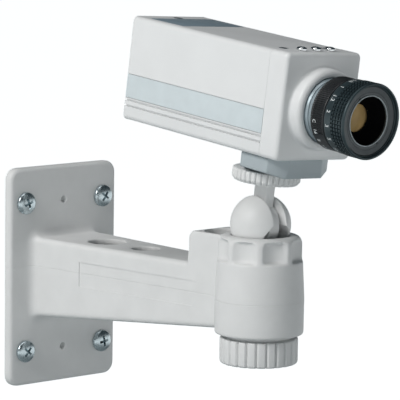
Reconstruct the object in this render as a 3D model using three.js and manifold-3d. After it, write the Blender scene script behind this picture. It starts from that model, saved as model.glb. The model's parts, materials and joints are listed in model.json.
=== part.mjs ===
// Box-type security camera on a swivelling wall bracket.
//
// Millimetres, +Z up. The origin is the centre of the wall plate's back face, +X points out of the
// wall along the arm, and +Y runs along the wall. Of a pair of pieces, "near" is the one on the -Y
// side and "far" the one on the +Y side.

import * as THREE from 'three';
import { mergeVertices } from 'three/addons/utils/BufferGeometryUtils.js';
import { ConvexGeometry } from 'three/addons/geometries/ConvexGeometry.js';
import Module from 'manifold-3d';

const wasm = await Module();
wasm.setup();

// ---------------------------------------------------------------- driving dimensions

const GAP = 0.3;                 // clearance between neighbouring pieces
const DEG = Math.PI / 180;

// wall plate
const PLATE = { width: 81, height: 130, thick: 6, corner: 7, edge: 2 };
const WALL_SCREW = { y: 29.5, z: 44.25, headR: 6.5, headH: 3.5, shankR: 3.1, holeR: 3.5 };
const PILOT = { z: 44.25, r: 1.85 };

// arm, from its root on the plate to the barrel
const ARM = { rootHalf: 23.5, endHalf: 12.3, rootX: 6, endX: 162, top: 23.5, rootBottom: -24,
  endBottom: -11.3, edge: 3, fillet: 5, wall: 3.5 };
const ARM_HOLES = [{ x: 46, r: 11.1 }, { x: 80, r: 8.2 }];
const CAVITY_END_X = 128;
const LABEL = { x0: 45, x1: 136, z0: -1.3, z1: 13, depth: 0.5 };   // plain panel on the arm's side
const BLOCK = { x0: 132, top: 41.4, draft: 1.4, chamfer: 2.6, pocketR: 11, pocketX: 147,
  pocketZ: 26 };

// upright barrel at the arm's end, with the fluted collar above its rim
const BARREL = { x: 176.6, rimR: 23.9, midR: 25, footR: 24.8, rimZ: 28.9, midZ: 7.2, footZ: -12.7,
  boreR: 8 };
const COLLAR = { r: 23.3, topR: 19.3, shoulderZ: 38, topZ: 42.7, flutes: 8, fluteHalf: 7,
  fluteR: 14.5, fluteFloor: 19.9, fluteTopZ: 40.7, fluteTurn: 24 };

// swivel fork: a slotted ball above a tapered plug that sits in the collar
const PIVOT_Z = 48.6;
const FORK = { ballR: 17, slotHalf: 4.6, slotFloor: -13, waistZ: -6.5, plugZ: -20.2, plugR: 11.5,
  notchR: 9.2, notchZ: -7.6, notchX: 5 };
const PIN = { r: 2.5, headR: 3.9, headH: 2.4 };
const BOLT = { r: 3, headR: 4.2, headTop: -13.5, headBottom: -17.2, endZ: -76 };

// lock knob under the barrel
const KNOB = { r: 21.9, topZ: -14.9, bottomZ: -29.3, hubR: 18.4, hubZ: -9.9, flutes: 24,
  fluteR: 0.95, recessR: 14, recess: 4 };
const THRUST = { r: 15, z0: -9.6, z1: -8.3, seatZ: -8 };
const NUT = { r: 5.2, z0: -27.5, z1: -16 };

// pose of the head: swivel about Z, tilt in the fork, and the tongue's sideways lean in its slot
const PAN = -1.3 * DEG;
const TILT = 5.2 * DEG;
const LEAN = -3.0 * DEG;

// stem and lock ring, measured along the stem from the tilt pin
const TONGUE = { r: 11.9, half: 3.6, holeR: 2.9 };
const NECK = { halfX: 5.4, topZ: 23.7, edge: 1.6 };
const STUD = { r: 3.1, footZ: 14, topZ: 40.2 };
const RING = { r: 19.1, footR: 17.5, z0: 24, z1: 31, chamfer: 1.8, notches: 36, notchR: 0.75 };

// camera: its origin is the middle of the front face's lower edge, measured from the tilt pin
const CAMERA = { x: 35.5, z: 42.3 };
const STUD_X = -CAMERA.x;
const BODY = { length: 129.7, width: 55.6, height: 59.4, corner: 3.2, wall: 2 };
const BEZEL = { depth: 13.7, front: 2.5 };
const STRIPE = { z0: 12.9, z1: 26.4 };
const GROOVES = [11.5, 8.3];
const INLAY = { sink: 0.7, thick: 0.4 };
const TOP_LABEL = { x0: -120.2, x1: -92.6, half: 22.8 };
const MOUNT = { half: 22.75, x0: -33.1, x1: -11.6, frontX: -4.8, frontHalf: 11.8, rearX: -46,
  rearHalf: 9.8, sideZ: -8.4, frontZ: -5.9, bottomZ: -11.2,
  foot: [[-6, 13.6], [-42, 12]] };
const MOUNT_SCREWS = { x: -21, y: 13 };
const BEZEL_SCREWS = { x: -8, pitch: 10.5 };
const COVER_SCREWS = [['cover_screw_near', -17, -15.4], ['cover_screw_far', -17, 15.4],
  ['cover_screw_rear', -123.6, 0]];

// rear panel, with its screws, sockets and lamp
const REAR_PANEL = { x0: -128.9, thick: 2.2 };
const REAR_SCREWS = [['rear_screw_low_near', -20.5, 8], ['rear_screw_low_far', 20.5, 8],
  ['rear_screw_high_near', -20.5, 51.4], ['rear_screw_high_far', 20.5, 51.4]];
const VIDEO = { y: 12, z: 40, flangeR: 6.6, flangeX: 4.6, flangeEnd: 7, shellR: 4.7, mouthR: 3.4,
  mouthEnd: 8.4, pinR: 0.9, pinEnd: 5, lugR: 0.9, lugX: 5.6 };
const POWER = { y0: -19, y1: -5, z0: 36, z1: 44, front: 4, length: 11, poles: [-15.5, -8.5],
  mouthHalf: 2.1, mouthZ0: 36.9, mouthZ1: 40.9, mouthDepth: 6, screwR: 1.5, screwZ: 42.6 };
const IRIS_SOCKET = { y: 12, z: 18, halfY: 5, halfZ: 4, front: 3, length: 5, pinR: 0.9,
  pinY: 2.4, pinZ: 1.9, pinDepth: 3 };
const SOCKET_MARGIN = 0.4;       // clearance of the rectangular sockets in the rear panel
const LAMP = { y: -12, z: 26, r: 1.5, x0: -1.2, x1: 3 };

// boards inside the housing
const BOARD = { thick: 1.6, x0: -116, x1: -24, half: 22, z: 14.3 };
const POWER_BOARD = { x1: -60, half: 20, z: 30 };
const BOARD_LINK = { x0: -100, x1: -80, half: 3 };
const PILLAR = { r: 2.5, at: [[-108, -17], [-108, 17], [-32, -17], [-32, 17]] };
const SENSOR = { boardX: -7.6, boardHalfY: 20, boardHalfZ: 19, chipX0: -5.7, chipX1: -3.6, chipHalf: 6,
  filterR: 8, filterX0: -3, filterX1: -2 };

// lens, along its own axis from the camera's front face
const LENS_Z = 29;
const BOSS = { r: 22.4, length: 8, edge: 3, boreR: 18.3 };
const LENS_MOUNT = { boreR: 12.8, threadR: 15.2, threadX: -1.4, seatX: 1, r: 18, shoulderX: 7.6,
  frontR: 17.2, frontX: 9.4 };
const LENS_BODY = { boreR: 10.4, rearR: 12.4, rearX: 2, flangeR: 17.2, flangeX0: 9.7,
  flangeX1: 14.2, seatR: 16.7, seatX: 24.9, guideR: 13.9, guideX: 27 };
const IRIS = { r: 20.2, boreR: 17, x0: 14.5, x1: 24.6 };
const FOCUS = { r: 20.9, x0: 25.3, x1: 41, lip: 1.8 };
const CELL = { r: 18.5, rearR: 14.2, x0: 25.4, x1: 37.2, mouthR: 13.4, stepX: 35.6 };
const NAME_RING = { x0: 37.5, x1: 39, innerX1: 38.3 };
const GLASS = { r: 9.2, mouthR: 8, rimX: 28.1, backX: 27.4, bulge: 1.1, seatR: 9.5, seatX0: 27.3,
  seatX1: 29.4, steps: 4 };
const REAR_GLASS = { r: 9.9, flatR: 7, x0: 4, edgeX0: 5.2, edgeX1: 8.4, x1: 9.3 };
const DIAPHRAGM = { r: 10.1, holeR: 3.6, x0: 19, x1: 19.8 };

// ---------------------------------------------------------------- materials

const paint = (color, roughness, metalness = 0) =>
  new THREE.MeshStandardMaterial({ color, roughness, metalness });

const MAT = {
  bracket: paint(0xd6d7d6, 0.55),
  housing: paint(0xdfe1e1, 0.45),
  stripe: paint(0xc6d1d6, 0.5),
  label: paint(0x7f929e, 0.45),
  block: paint(0xb9c6cc, 0.6),
  zinc: paint(0x9aa9b0, 0.3, 0.9),
  chrome: paint(0xd8dadc, 0.15, 1),
  steel: paint(0x8b9094, 0.35, 1),
  brass: paint(0xb8954a, 0.35, 1),
  alloy: paint(0x8e9aa1, 0.35, 0.9),
  black: paint(0x1b1f23, 0.4),
  rubber: paint(0x20262a, 0.75),
  nameRing: paint(0x4a5054, 0.45, 0.3),
  glass: paint(0x7a6443, 0.05),
  board: paint(0x1f5a3a, 0.6),
  chip: paint(0x15181b, 0.5),
  filter: paint(0x9fc2c9, 0.1),
  nylon: paint(0xe9e6dc, 0.6),
  terminal: paint(0x2c7a4b, 0.5),
  lamp: paint(0xc23a2c, 0.3),
};

// ---------------------------------------------------------------- solid helpers

const V2 = (x, y) => new THREE.Vector2(x, y);
const V3 = (x, y, z) => new THREE.Vector3(x, y, z);

// Turns a closed geometry into a solid, dropping the zero-area faces that meet on an axis.
function solid(geometry) {
  const plain = geometry.clone();
  plain.deleteAttribute('normal');
  plain.deleteAttribute('uv');
  const merged = mergeVertices(plain, 1e-4);
  const index = merged.index.array;
  const faces = [];
  for (let i = 0; i < index.length; i += 3) {
    const [a, b, c] = index.slice(i, i + 3);
    if (a !== b && b !== c && c !== a) faces.push(a, b, c);
  }
  const make = (tris) => new wasm.Manifold(new wasm.Mesh({
    numProp: 3,
    vertProperties: new Float32Array(merged.attributes.position.array),
    triVerts: new Uint32Array(tris),
  }));
  const first = make(faces);
  if (first.volume() > 0) return first;
  const flipped = [];
  for (let i = 0; i < faces.length; i += 3) flipped.push(faces[i], faces[i + 2], faces[i + 1]);
  return make(flipped);
}

const moved = (geometry, x, y, z) => geometry.clone().translate(x, y, z);
const cut = (body, ...tools) => tools.reduce((s, t) => s.subtract(t), body);
const join = (body, ...others) => others.reduce((s, t) => s.add(t), body);

function mesh(name, shape, material) {
  const { vertProperties, triVerts } = shape.getMesh();
  const geometry = new THREE.BufferGeometry();
  geometry.setAttribute('position', new THREE.BufferAttribute(new Float32Array(vertProperties), 3));
  geometry.setIndex(new THREE.BufferAttribute(new Uint32Array(triVerts), 1));
  geometry.computeVertexNormals();
  const result = new THREE.Mesh(geometry, material);
  result.name = name;
  return result;
}

// Profiles are [radius, height] pairs. They end on the axis or close on themselves.
const AXIS_TURN = {
  x: new THREE.Matrix4().makeBasis(V3(0, 0, 1), V3(1, 0, 0), V3(0, 1, 0)),
  y: new THREE.Matrix4(),
  z: new THREE.Matrix4().makeBasis(V3(0, 1, 0), V3(0, 0, 1), V3(1, 0, 0)),
};
function turned(profile, segments, axis = 'z') {
  const points = profile.map(([r, h]) => V2(r, h));
  if (profile[0][0] > 0) points.push(points[0].clone());
  return solid(new THREE.LatheGeometry(points, segments).applyMatrix4(AXIS_TURN[axis]));
}

// A rod or disc from h0 to h1 along an axis, its centre line at the two other coordinates.
function rod(r, h0, h1, axis = 'z', [x, y, z] = [0, 0, 0], segments = 16) {
  const g = turned([[0, h0], [r, h0], [r, h1], [0, h1]], segments, axis);
  return g.translate([x, y, z]);
}

// A flat ring or tube from h0 to h1 along an axis.
const tube = (r1, r0, h0, h1, segments = 24, axis = 'z') =>
  turned([[r0, h0], [r1, h0], [r1, h1], [r0, h1]], segments, axis);

function box(x0, x1, y0, y1, z0, z1) {
  const g = new THREE.BoxGeometry(x1 - x0, y1 - y0, z1 - z0);
  return solid(g.translate((x0 + x1) / 2, (y0 + y1) / 2, (z0 + z1) / 2));
}

// Points of an arc about (cx, cy), ends included; angles in degrees.
function arc(cx, cy, r, from, to, steps) {
  return Array.from({ length: steps + 1 }, (_, i) => {
    const a = (from + (to - from) * i / steps) * DEG;
    return [cx + r * Math.cos(a), cy + r * Math.sin(a)];
  });
}

// Outline of a rectangle with rounded corners, anticlockwise.
function roundRect(x0, x1, y0, y1, r, steps = 5) {
  return [
    ...arc(x1 - r, y1 - r, r, 0, 90, steps), ...arc(x0 + r, y1 - r, r, 90, 180, steps),
    ...arc(x0 + r, y0 + r, r, 180, 270, steps), ...arc(x1 - r, y0 + r, r, 270, 360, steps),
  ];
}

// Skin over matching convex sections; each section is a list of Vector3 with the same count.
function loft(sections) {
  const n = sections[0].length;
  const position = sections.flat().flatMap((p) => [p.x, p.y, p.z]);
  const index = [];
  for (let s = 0; s + 1 < sections.length; s++) {
    for (let i = 0; i < n; i++) {
      const [a, b] = [s * n + i, s * n + (i + 1) % n];
      index.push(a, b, b + n, a, b + n, a + n);
    }
  }
  const last = (sections.length - 1) * n;
  for (let i = 1; i + 1 < n; i++) index.push(0, i + 1, i, last, last + i, last + i + 1);
  const g = new THREE.BufferGeometry();
  g.setAttribute('position', new THREE.Float32BufferAttribute(position, 3));
  g.setIndex(index);
  return solid(g);
}

// Rounded rectangle in the YZ plane at x, grown outwards by `grow`.
function sectionYZ(x, y0, y1, z0, z1, r, grow = 0, steps = 5) {
  const outline = roundRect(y0 - grow, y1 + grow, z0 - grow, z1 + grow, Math.max(r + grow, 0.2),
    steps);
  return outline.map(([y, z]) => V3(x, y, z));
}

// Outline in the YZ plane pulled along X from x0 to x1, with an optional hole.
function pulled(outline, x0, x1, hole = null) {
  const shape = new THREE.Shape(outline.map(([y, z]) => V2(y, z)));
  if (hole) shape.holes.push(new THREE.Path(hole.map(([y, z]) => V2(y, z))));
  const g = new THREE.ExtrudeGeometry(shape, { depth: x1 - x0, bevelEnabled: false });
  g.applyMatrix4(new THREE.Matrix4().makeBasis(V3(0, 1, 0), V3(0, 0, 1), V3(1, 0, 0)));
  return solid(moved(g, x0, 0, 0));
}

// A copy of `tool` every 360/count degrees about Z.
const aroundZ = (tool, count, first = 0) =>
  Array.from({ length: count }, (_, i) => tool.rotate([0, 0, first + i * 360 / count]));

const lerp = (a, b, t) => a + (b - a) * t;

// ---------------------------------------------------------------- screws

// Pan-head screw standing on z = 0, its cross recess cut in the crown and its shank below.
function panScrew(headR, headH, shankR, shankLength, sides = 12) {
  const body = turned([
    [0, -shankLength], [shankR, -shankLength], [shankR, 0], [headR, 0], [headR, headH * 0.5],
    [headR * 0.68, headH], [0, headH],
  ], sides);
  const [arm, half] = [headR * 0.54, headR * 0.13];
  const floor = headH * 0.35;
  return cut(body, join(box(-arm, arm, -half, half, floor, headH + 1),
    box(-half, half, -arm, arm, floor, headH + 1)));
}

// Countersunk screw, its flat head flush with z = 0.
function flatScrew(headR, headH, shankR, length) {
  const body = turned([[0, -length], [shankR, -length], [shankR, -headH], [headR, -0.3],
    [headR, 0], [0, 0]], 12);
  const [arm, half] = [headR * 0.6, headR * 0.14];
  return cut(body, join(box(-arm, arm, -half, half, -headH * 0.6, 1),
    box(-half, half, -arm, arm, -headH * 0.6, 1)));
}

// ---------------------------------------------------------------- wall bracket

// The arm's half width and its lower edge at a distance x from the wall.
const armT = (x) => (x - ARM.rootX) / (ARM.endX - ARM.rootX);
const armHalf = (x) => lerp(ARM.rootHalf, ARM.endHalf, armT(x));
const armBottom = (x) => lerp(ARM.rootBottom, ARM.endBottom, armT(x));

function plate() {
  const [w, h, e] = [PLATE.width / 2, PLATE.height / 2, PLATE.edge];
  const rounding = [[PLATE.thick - e, 0], [PLATE.thick - 0.3 * e, 0.3 * e], [PLATE.thick, e]];
  const levels = [[0, 0], ...rounding];
  return loft(levels.map(([x, inset]) => sectionYZ(x, -w, w, -h, h, PLATE.corner, -inset)));
}

function armSection(x, grow = 0) {
  return sectionYZ(x, -armHalf(x), armHalf(x), armBottom(x), ARM.top, ARM.edge, grow, 3);
}

function arm() {
  const f = ARM.fillet;
  const flare = (d) => f - Math.sqrt(f * f - (f - d) * (f - d));
  const sections = [0, 0.9, 2.6, f].map((d) => armSection(ARM.rootX + d, flare(d)));
  sections.unshift(armSection(ARM.rootX - 1, f));
  return loft([...sections, armSection(BARREL.x - 14)]);
}

// Two cored chambers open to the wall, above and below the web at the middle of the plate.
function armCavities() {
  const chamber = (bottomAt, topAt) => loft([-1, CAVITY_END_X].map((x) =>
    sectionYZ(x, -armHalf(x) + ARM.wall, armHalf(x) - ARM.wall, bottomAt(x), topAt(x), 2, 0, 3)));
  return [
    chamber(() => 2, () => ARM.top - ARM.wall),
    chamber((x) => armBottom(x) + ARM.wall, () => -2),
  ];
}

// Raised block between the arm and the collar, with the open pocket in its top.
function block() {
  const { x0, top, draft, chamfer } = BLOCK;
  const side = (y) => [V3(x0, y, ARM.top - 6), V3(x0 + draft, y, top - chamfer),
    V3(x0 + draft + chamfer * 0.7, y * 0.96, top), V3(BARREL.x - 4, y, top),
    V3(BARREL.x - 4, y, ARM.top - 6)];
  const half = armHalf(x0);
  const far = armHalf(BARREL.x - 4);
  const points = [...side(-half), ...side(half)].map((p) => {
    if (p.x > x0 + 20) p.y = Math.sign(p.y) * far;
    return p;
  });
  return solid(new ConvexGeometry(points));
}

function blockPocket() {
  const { pocketR: r, pocketX: x, pocketZ: z, top } = BLOCK;
  return join(rod(r, z, top + 1, 'z', [x, 0, 0], 20),
    box(x, BARREL.x, -r + 0.2, r - 0.2, z, top + 1));
}

function barrel() {
  const b = BARREL;
  return turned([[0, b.footZ], [b.footR - 0.9, b.footZ], [b.footR, b.footZ + 0.9],
    [b.midR, b.midZ], [b.rimR, b.rimZ - 0.8], [b.rimR - 0.8, b.rimZ], [0, b.rimZ]], 36)
    .translate([b.x, 0, 0]);
}

function collar() {
  const c = COLLAR;
  const shoulder = arc(c.topR, c.shoulderZ, 1, 0, 90, 3).map(([x, y]) =>
    [c.topR + (x - c.topR) * (c.r - c.topR),
      c.shoulderZ + (y - c.shoulderZ) * (c.topZ - c.shoulderZ)]);
  const body = turned([[0, ARM.top], [c.r, ARM.top], ...shoulder, [0, c.topZ]], 32);
  // one scallop: a round-bottomed flute whose top corners are rounded
  const panel = roundRect(-c.fluteHalf, c.fluteHalf, BARREL.rimZ, c.fluteTopZ + 20, 3, 3)
    .map(([y, z]) => [y, z > BARREL.rimZ + 10 ? z - 20 : BARREL.rimZ - 2]);
  const flute = pulled(panel, c.fluteFloor - 2, c.r + 4)
    .intersect(rod(c.fluteR, ARM.top, c.topZ, 'z', [c.fluteFloor + c.fluteR, 0, 0], 24));
  return cut(body, ...aroundZ(flute, c.flutes, c.fluteTurn)).translate([BARREL.x, 0, 0]);
}

// Bore through collar and barrel: tapered seat, bushing bore, washer seat and knob recess.
function barrelBore() {
  const seatR = FORK.plugR + 0.4;
  const waist = Math.sqrt(FORK.ballR ** 2 - FORK.waistZ ** 2) + 0.4;
  const seatZ = PIVOT_Z + FORK.plugZ - GAP;
  return turned([[0, -20], [KNOB.hubR + 0.6, -20], [KNOB.hubR + 0.6, THRUST.seatZ],
    [BARREL.boreR, THRUST.seatZ], [BARREL.boreR, seatZ], [seatR, seatZ],
    [waist, PIVOT_Z + FORK.waistZ], [waist + 0.5, COLLAR.topZ + 1], [0, COLLAR.topZ + 1]], 24)
    .translate([BARREL.x, 0, 0]);
}

// Shallow plain panel sunk in the side of the arm.
function labelPanel() {
  const { x0, x1, z0, z1, depth } = LABEL;
  const corner = (x, z, out) => V3(x, -armHalf(x) + depth - out, z);
  const points = [0, 3].flatMap((out) => [corner(x0, z0, out), corner(x1, z0, out),
    corner(x1, z1, out), corner(x0, z1, out)]);
  return solid(new ConvexGeometry(points));
}

function wallBracket() {
  const holes = [-1, 1].flatMap((sy) => [-1, 1].map((sz) =>
    rod(WALL_SCREW.holeR, -1, 10, 'x', [0, sy * WALL_SCREW.y, sz * WALL_SCREW.z], 12)));
  const pilots = [-1, 1].map((s) => rod(PILOT.r, -1, 10, 'x', [0, 0, s * PILOT.z], 8));
  const ports = ARM_HOLES.map(({ x, r }) => rod(r, 12, 30, 'z', [x, 0, 0], 20));
  const raised = cut(block(), blockPocket());
  const body = cut(join(plate(), arm()), ...armCavities(), ...holes, ...pilots, ...ports,
    labelPanel());
  return mesh('wall_bracket', cut(join(body, barrel(), raised, collar()), barrelBore()),
    MAT.bracket);
}

function wallScrews() {
  const names = { '-1,1': 'wall_screw_top_near', '1,1': 'wall_screw_top_far',
    '-1,-1': 'wall_screw_bottom_near', '1,-1': 'wall_screw_bottom_far' };
  return Object.entries(names).map(([key, name], i) => {
    const [sy, sz] = key.split(',').map(Number);
    const s = WALL_SCREW;
    const screw = mesh(name, panScrew(s.headR, s.headH, s.shankR, PLATE.thick - 0.4, 18), MAT.zinc);
    screw.position.set(PLATE.thick + GAP, sy * s.y, sz * s.z);
    screw.rotation.set(0, 90 * DEG, [20, -35, 50, 10][i] * DEG, 'YXZ');
    return screw;
  });
}

function bushing() {
  const body = mesh('swivel_bushing', tube(BARREL.boreR - GAP, BOLT.r + 0.4, -7.5, 27.5),
    MAT.nylon);
  body.position.set(BARREL.x, 0, 0);
  return body;
}

// ---------------------------------------------------------------- swivel fork and knob
// Drawn about the tilt pin, with the slot along X and the pin along Y.

function forkSolid() {
  const f = FORK;
  const low = Math.asin(f.waistZ / f.ballR) / DEG;
  const ball = arc(0, 0, f.ballR, low, 90, 7);
  ball[ball.length - 1][0] = 0;
  const body = turned([[0, f.plugZ], [f.plugR, f.plugZ], ...ball], 28);
  const slot = box(-30, 30, -f.slotHalf, f.slotHalf, f.slotFloor, 30);
  const notch = (x0, x1) => rod(f.notchR, x0, x1, 'x', [0, 0, f.notchZ], 16);
  const bolt = join(rod(BOLT.r + GAP, -30, 0), rod(BOLT.headR + GAP, BOLT.headBottom - GAP, 0));
  const pinHole = join(rod(PIN.r + 0.1, -11, 20, 'y', [0, 0, 0], 14),
    rod(PIN.headR + GAP, 12.4, 20, 'y', [0, 0, 0], 14));
  return cut(body, slot, notch(f.notchX, 20), notch(-20, -f.notchX), bolt, pinHole);
}

function tiltPin() {
  const body = turned([[0, -10.6], [PIN.r - 0.4, -10.6], [PIN.r, -10.2], [PIN.r, 12.7],
    [PIN.headR, 12.7], [PIN.headR, 12.7 + PIN.headH], [0, 12.7 + PIN.headH]], 14, 'y');
  return cut(body, box(-PIN.headR, PIN.headR, 14, 16, -0.5, 0.5));
}

function tensionBolt() {
  return turned([[0, BOLT.endZ], [BOLT.r - 0.5, BOLT.endZ], [BOLT.r, BOLT.endZ + 0.5],
    [BOLT.r, BOLT.headBottom], [BOLT.headR, BOLT.headBottom], [BOLT.headR, BOLT.headTop],
    [0, BOLT.headTop]], 16);
}

// Drawn in the bracket's heights; the swivel group is lowered by PIVOT_Z.
function knobSolid() {
  const k = KNOB;
  const profile = [
    [NUT.r + GAP, NUT.z0 - 0.4], [NUT.r + 2.6, NUT.z0 - 0.4], [NUT.r + 2.6, k.bottomZ + k.recess],
    [k.recessR, k.bottomZ + k.recess], [k.recessR + 1.5, k.bottomZ], [k.r - 1.4, k.bottomZ],
    [k.r, k.bottomZ + 1.6], [k.r, k.topZ - 0.8],
    [k.r - 0.8, k.topZ], [k.hubR, k.topZ], [k.hubR, k.hubZ], [BOLT.r + 0.5, k.hubZ],
    [BOLT.r + 0.5, NUT.z1 + GAP], [NUT.r + GAP, NUT.z1 + GAP],
  ];
  const groove = rod(k.fluteR, k.bottomZ - 1, k.topZ + 1, 'z', [k.r + 0.1, 0, 0], 4);
  return cut(turned(profile, k.flutes), ...aroundZ(groove, k.flutes, 180 / k.flutes));
}

function swivel() {
  const group = new THREE.Group();
  group.position.set(BARREL.x, 0, PIVOT_Z);
  group.rotation.z = PAN;
  const lower = new THREE.Group();
  lower.position.z = -PIVOT_Z;
  lower.add(
    mesh('thrust_washer', tube(THRUST.r, BOLT.r + 0.4, THRUST.z0, THRUST.z1), MAT.steel),
    mesh('lock_knob', knobSolid(), MAT.bracket),
    mesh('knob_insert', cut(rod(NUT.r, NUT.z0, NUT.z1, 'z', [0, 0, 0], 6),
      rod(BOLT.r + GAP, NUT.z0 - 1, NUT.z1 + 1)), MAT.brass),
  );
  group.add(
    mesh('swivel_fork', forkSolid(), MAT.bracket),
    mesh('tilt_pin', tiltPin(), MAT.steel),
    mesh('tension_bolt', tensionBolt(), MAT.steel),
    lower, tiltHead(),
  );
  return group;
}

// ---------------------------------------------------------------- stem and lock ring

function stemSolid() {
  const t = TONGUE;
  const disc = turned([[0, -t.half], [t.r - 0.6, -t.half], [t.r, -t.half + 0.6],
    [t.r, t.half - 0.6], [t.r - 0.6, t.half], [0, t.half]], 28, 'y');
  const outline = roundRect(-NECK.halfX, NECK.halfX, -t.half, t.half, NECK.edge, 2);
  const neck = loft([0, NECK.topZ].map((z) => outline.map(([x, y]) => V3(x, y, z))));
  return cut(join(disc, neck), rod(t.holeR, -10, 10, 'y', [0, 0, 0], 14),
    rod(STUD.r + 0.2, STUD.footZ - GAP, 40));
}

function lockRing() {
  const g = RING;
  const body = turned([[STUD.r + GAP, g.z0], [g.footR, g.z0], [g.r, g.z0 + g.chamfer],
    [g.r, g.z1], [STUD.r + GAP, g.z1]], 36);
  const notch = rod(g.notchR, g.z0 - 1, g.z1 + 1, 'z', [g.r + 0.1, 0, 0], 4);
  return cut(body, ...aroundZ(notch, g.notches, 5));
}

function tiltHead() {
  const group = new THREE.Group();
  group.rotation.y = TILT;
  const leaning = new THREE.Group();
  leaning.rotation.x = LEAN;
  leaning.add(
    mesh('tilt_stem', stemSolid(), MAT.bracket),
    mesh('stem_stud', rod(STUD.r, STUD.footZ, STUD.topZ), MAT.steel),
    mesh('lock_ring', lockRing(), MAT.bracket),
    camera(),
  );
  group.add(leaning);
  return group;
}

// ---------------------------------------------------------------- camera
// X runs from 0 at the front face back to -length, Y across, Z up from the underside.

const bodyOutline = (inset = 0, steps = 2) => roundRect(-BODY.width / 2 + inset,
  BODY.width / 2 - inset, inset, BODY.height - inset, Math.max(BODY.corner - inset, 0.8), steps);

function mountBlock() {
  const m = MOUNT;
  const octagon = (z, side, front, rear) => [
    V3(m.x0, side, z), V3(m.x1, side, z), V3(m.frontX, front, z), V3(m.rearX, rear, z),
    V3(m.x0, -side, z), V3(m.x1, -side, z), V3(m.frontX, -front, z), V3(m.rearX, -rear, z)];
  const sideFoot = [m.x0, m.x1].flatMap((x) => [V3(x, m.half, m.sideZ), V3(x, -m.half, m.sideZ)]);
  const frontFoot = [V3(m.frontX, m.frontHalf, m.frontZ), V3(m.frontX, -m.frontHalf, m.frontZ),
    V3(m.rearX, m.rearHalf, m.frontZ), V3(m.rearX, -m.rearHalf, m.frontZ)];
  const bottom = m.foot.flatMap(([x, y]) => [V3(x, y, m.bottomZ), V3(x, -y, m.bottomZ)]);
  const hull = solid(new ConvexGeometry([...octagon(-GAP, m.half, m.frontHalf, m.rearHalf),
    ...sideFoot, ...frontFoot, ...bottom]));
  const screwHoles = [-1, 1].map((s) => join(
    rod(1.7, -20, 2, 'z', [MOUNT_SCREWS.x, s * MOUNT_SCREWS.y, 0], 12),
    rod(3.3, -20, m.bottomZ + 3, 'z', [MOUNT_SCREWS.x, s * MOUNT_SCREWS.y, 0], 14)));
  return cut(hull, rod(5.3, -20, -1.6, 'z', [STUD_X, 0, 0], 24), ...screwHoles);
}

function housingShell() {
  const [x0, x1] = [-BODY.length, -BEZEL.depth - GAP];
  const w = BODY.width / 2;
  const body = pulled(bodyOutline(), x0, x1, bodyOutline(BODY.wall));
  const sinks = [-1, 1].map((s) => box(x0 - 1, x1 + 1, Math.min(s * w, s * (w - INLAY.sink)),
    Math.max(s * w, s * (w - INLAY.sink)), STRIPE.z0, STRIPE.z1));
  const lines = GROOVES.flatMap((z) => [-1, 1].map((s) => box(x0 - 1, x1 + 1,
    Math.min(s * (w + 1), s * (w - 0.5)), Math.max(s * (w + 1), s * (w - 0.5)),
    z - 0.4, z + 0.4)));
  const labelSink = box(TOP_LABEL.x0 - GAP, TOP_LABEL.x1 + GAP, -TOP_LABEL.half - GAP,
    TOP_LABEL.half + GAP, BODY.height - INLAY.sink, BODY.height + 1);
  const screwHoles = COVER_SCREWS.map(([, x, y]) => join(
    rod(1.45, BODY.height - 5, BODY.height + 1, 'z', [x, y, 0], 12),
    turned([[0, -1.6], [1.4, -1.6], [2.9, -0.2], [2.9, 1], [0, 1]], 12)
      .translate([x, y, BODY.height])));
  const baseHoles = [-1, 1].map((s) =>
    rod(1.7, -1, 5, 'z', [MOUNT_SCREWS.x, s * MOUNT_SCREWS.y, 0], 12));
  return cut(body, ...sinks, ...lines, labelSink, ...screwHoles, ...baseHoles);
}

function bezelSolid() {
  const b = BOSS;
  const rim = arc(b.r - b.edge, b.length - b.edge, b.edge, 0, 90, 3);
  const boss = turned([[0, -BEZEL.front], [b.r, -BEZEL.front], ...rim, [0, b.length]], 36, 'x')
    .translate([0, 0, LENS_Z]);
  const [e, n] = [2.4, 2];
  const rounding = [0, 45, 90].map((a) => [-e + e * Math.sin(a * DEG),
    e - e * Math.cos(a * DEG)]);
  const shell = loft([[-BEZEL.depth, 0], ...rounding].map(([x, inset]) =>
    bodyOutline(inset, n).map(([y, z]) => V3(x, y, z))));
  const hollow = pulled(bodyOutline(BODY.wall), -BEZEL.depth - 1, -BEZEL.front);
  const screwHoles = [-1, 0, 1].map((i) => rod(1.5, BODY.height - 5, BODY.height + 1, 'z',
    [BEZEL_SCREWS.x, i * BEZEL_SCREWS.pitch, 0], 12));
  return cut(join(cut(shell, hollow), boss), rod(b.boreR, -10, 20, 'x', [0, 0, LENS_Z], 32),
    ...screwHoles);
}

function stripe(side) {
  const y1 = side * (BODY.width / 2 - INLAY.sink + GAP + INLAY.thick);
  const y0 = side * (BODY.width / 2 - INLAY.sink + GAP);
  return box(-BODY.length, -BEZEL.depth - GAP, Math.min(y0, y1), Math.max(y0, y1),
    STRIPE.z0 + 0.15, STRIPE.z1 - 0.15);
}

function rearPanel() {
  const { x0, thick } = REAR_PANEL;
  const [p, s, m] = [POWER, IRIS_SOCKET, SOCKET_MARGIN];
  const drilled = (r, y, z, sides) => rod(r, x0 - 1, x0 + 5, 'x', [0, y, z], sides);
  return cut(pulled(bodyOutline(BODY.wall + GAP), x0, x0 + thick),
    drilled(VIDEO.shellR + 0.2, VIDEO.y, VIDEO.z, 16),
    box(x0 - 1, x0 + 5, p.y0 - m, p.y1 + m, p.z0 - m, p.z1 + m),
    box(x0 - 1, x0 + 5, s.y - s.halfY - m, s.y + s.halfY + m, s.z - s.halfZ - m,
      s.z + s.halfZ + m),
    drilled(LAMP.r + GAP, LAMP.y, LAMP.z, 12),
    ...REAR_SCREWS.map(([, y, z]) => drilled(1.45, y, z, 12)));
}

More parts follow.
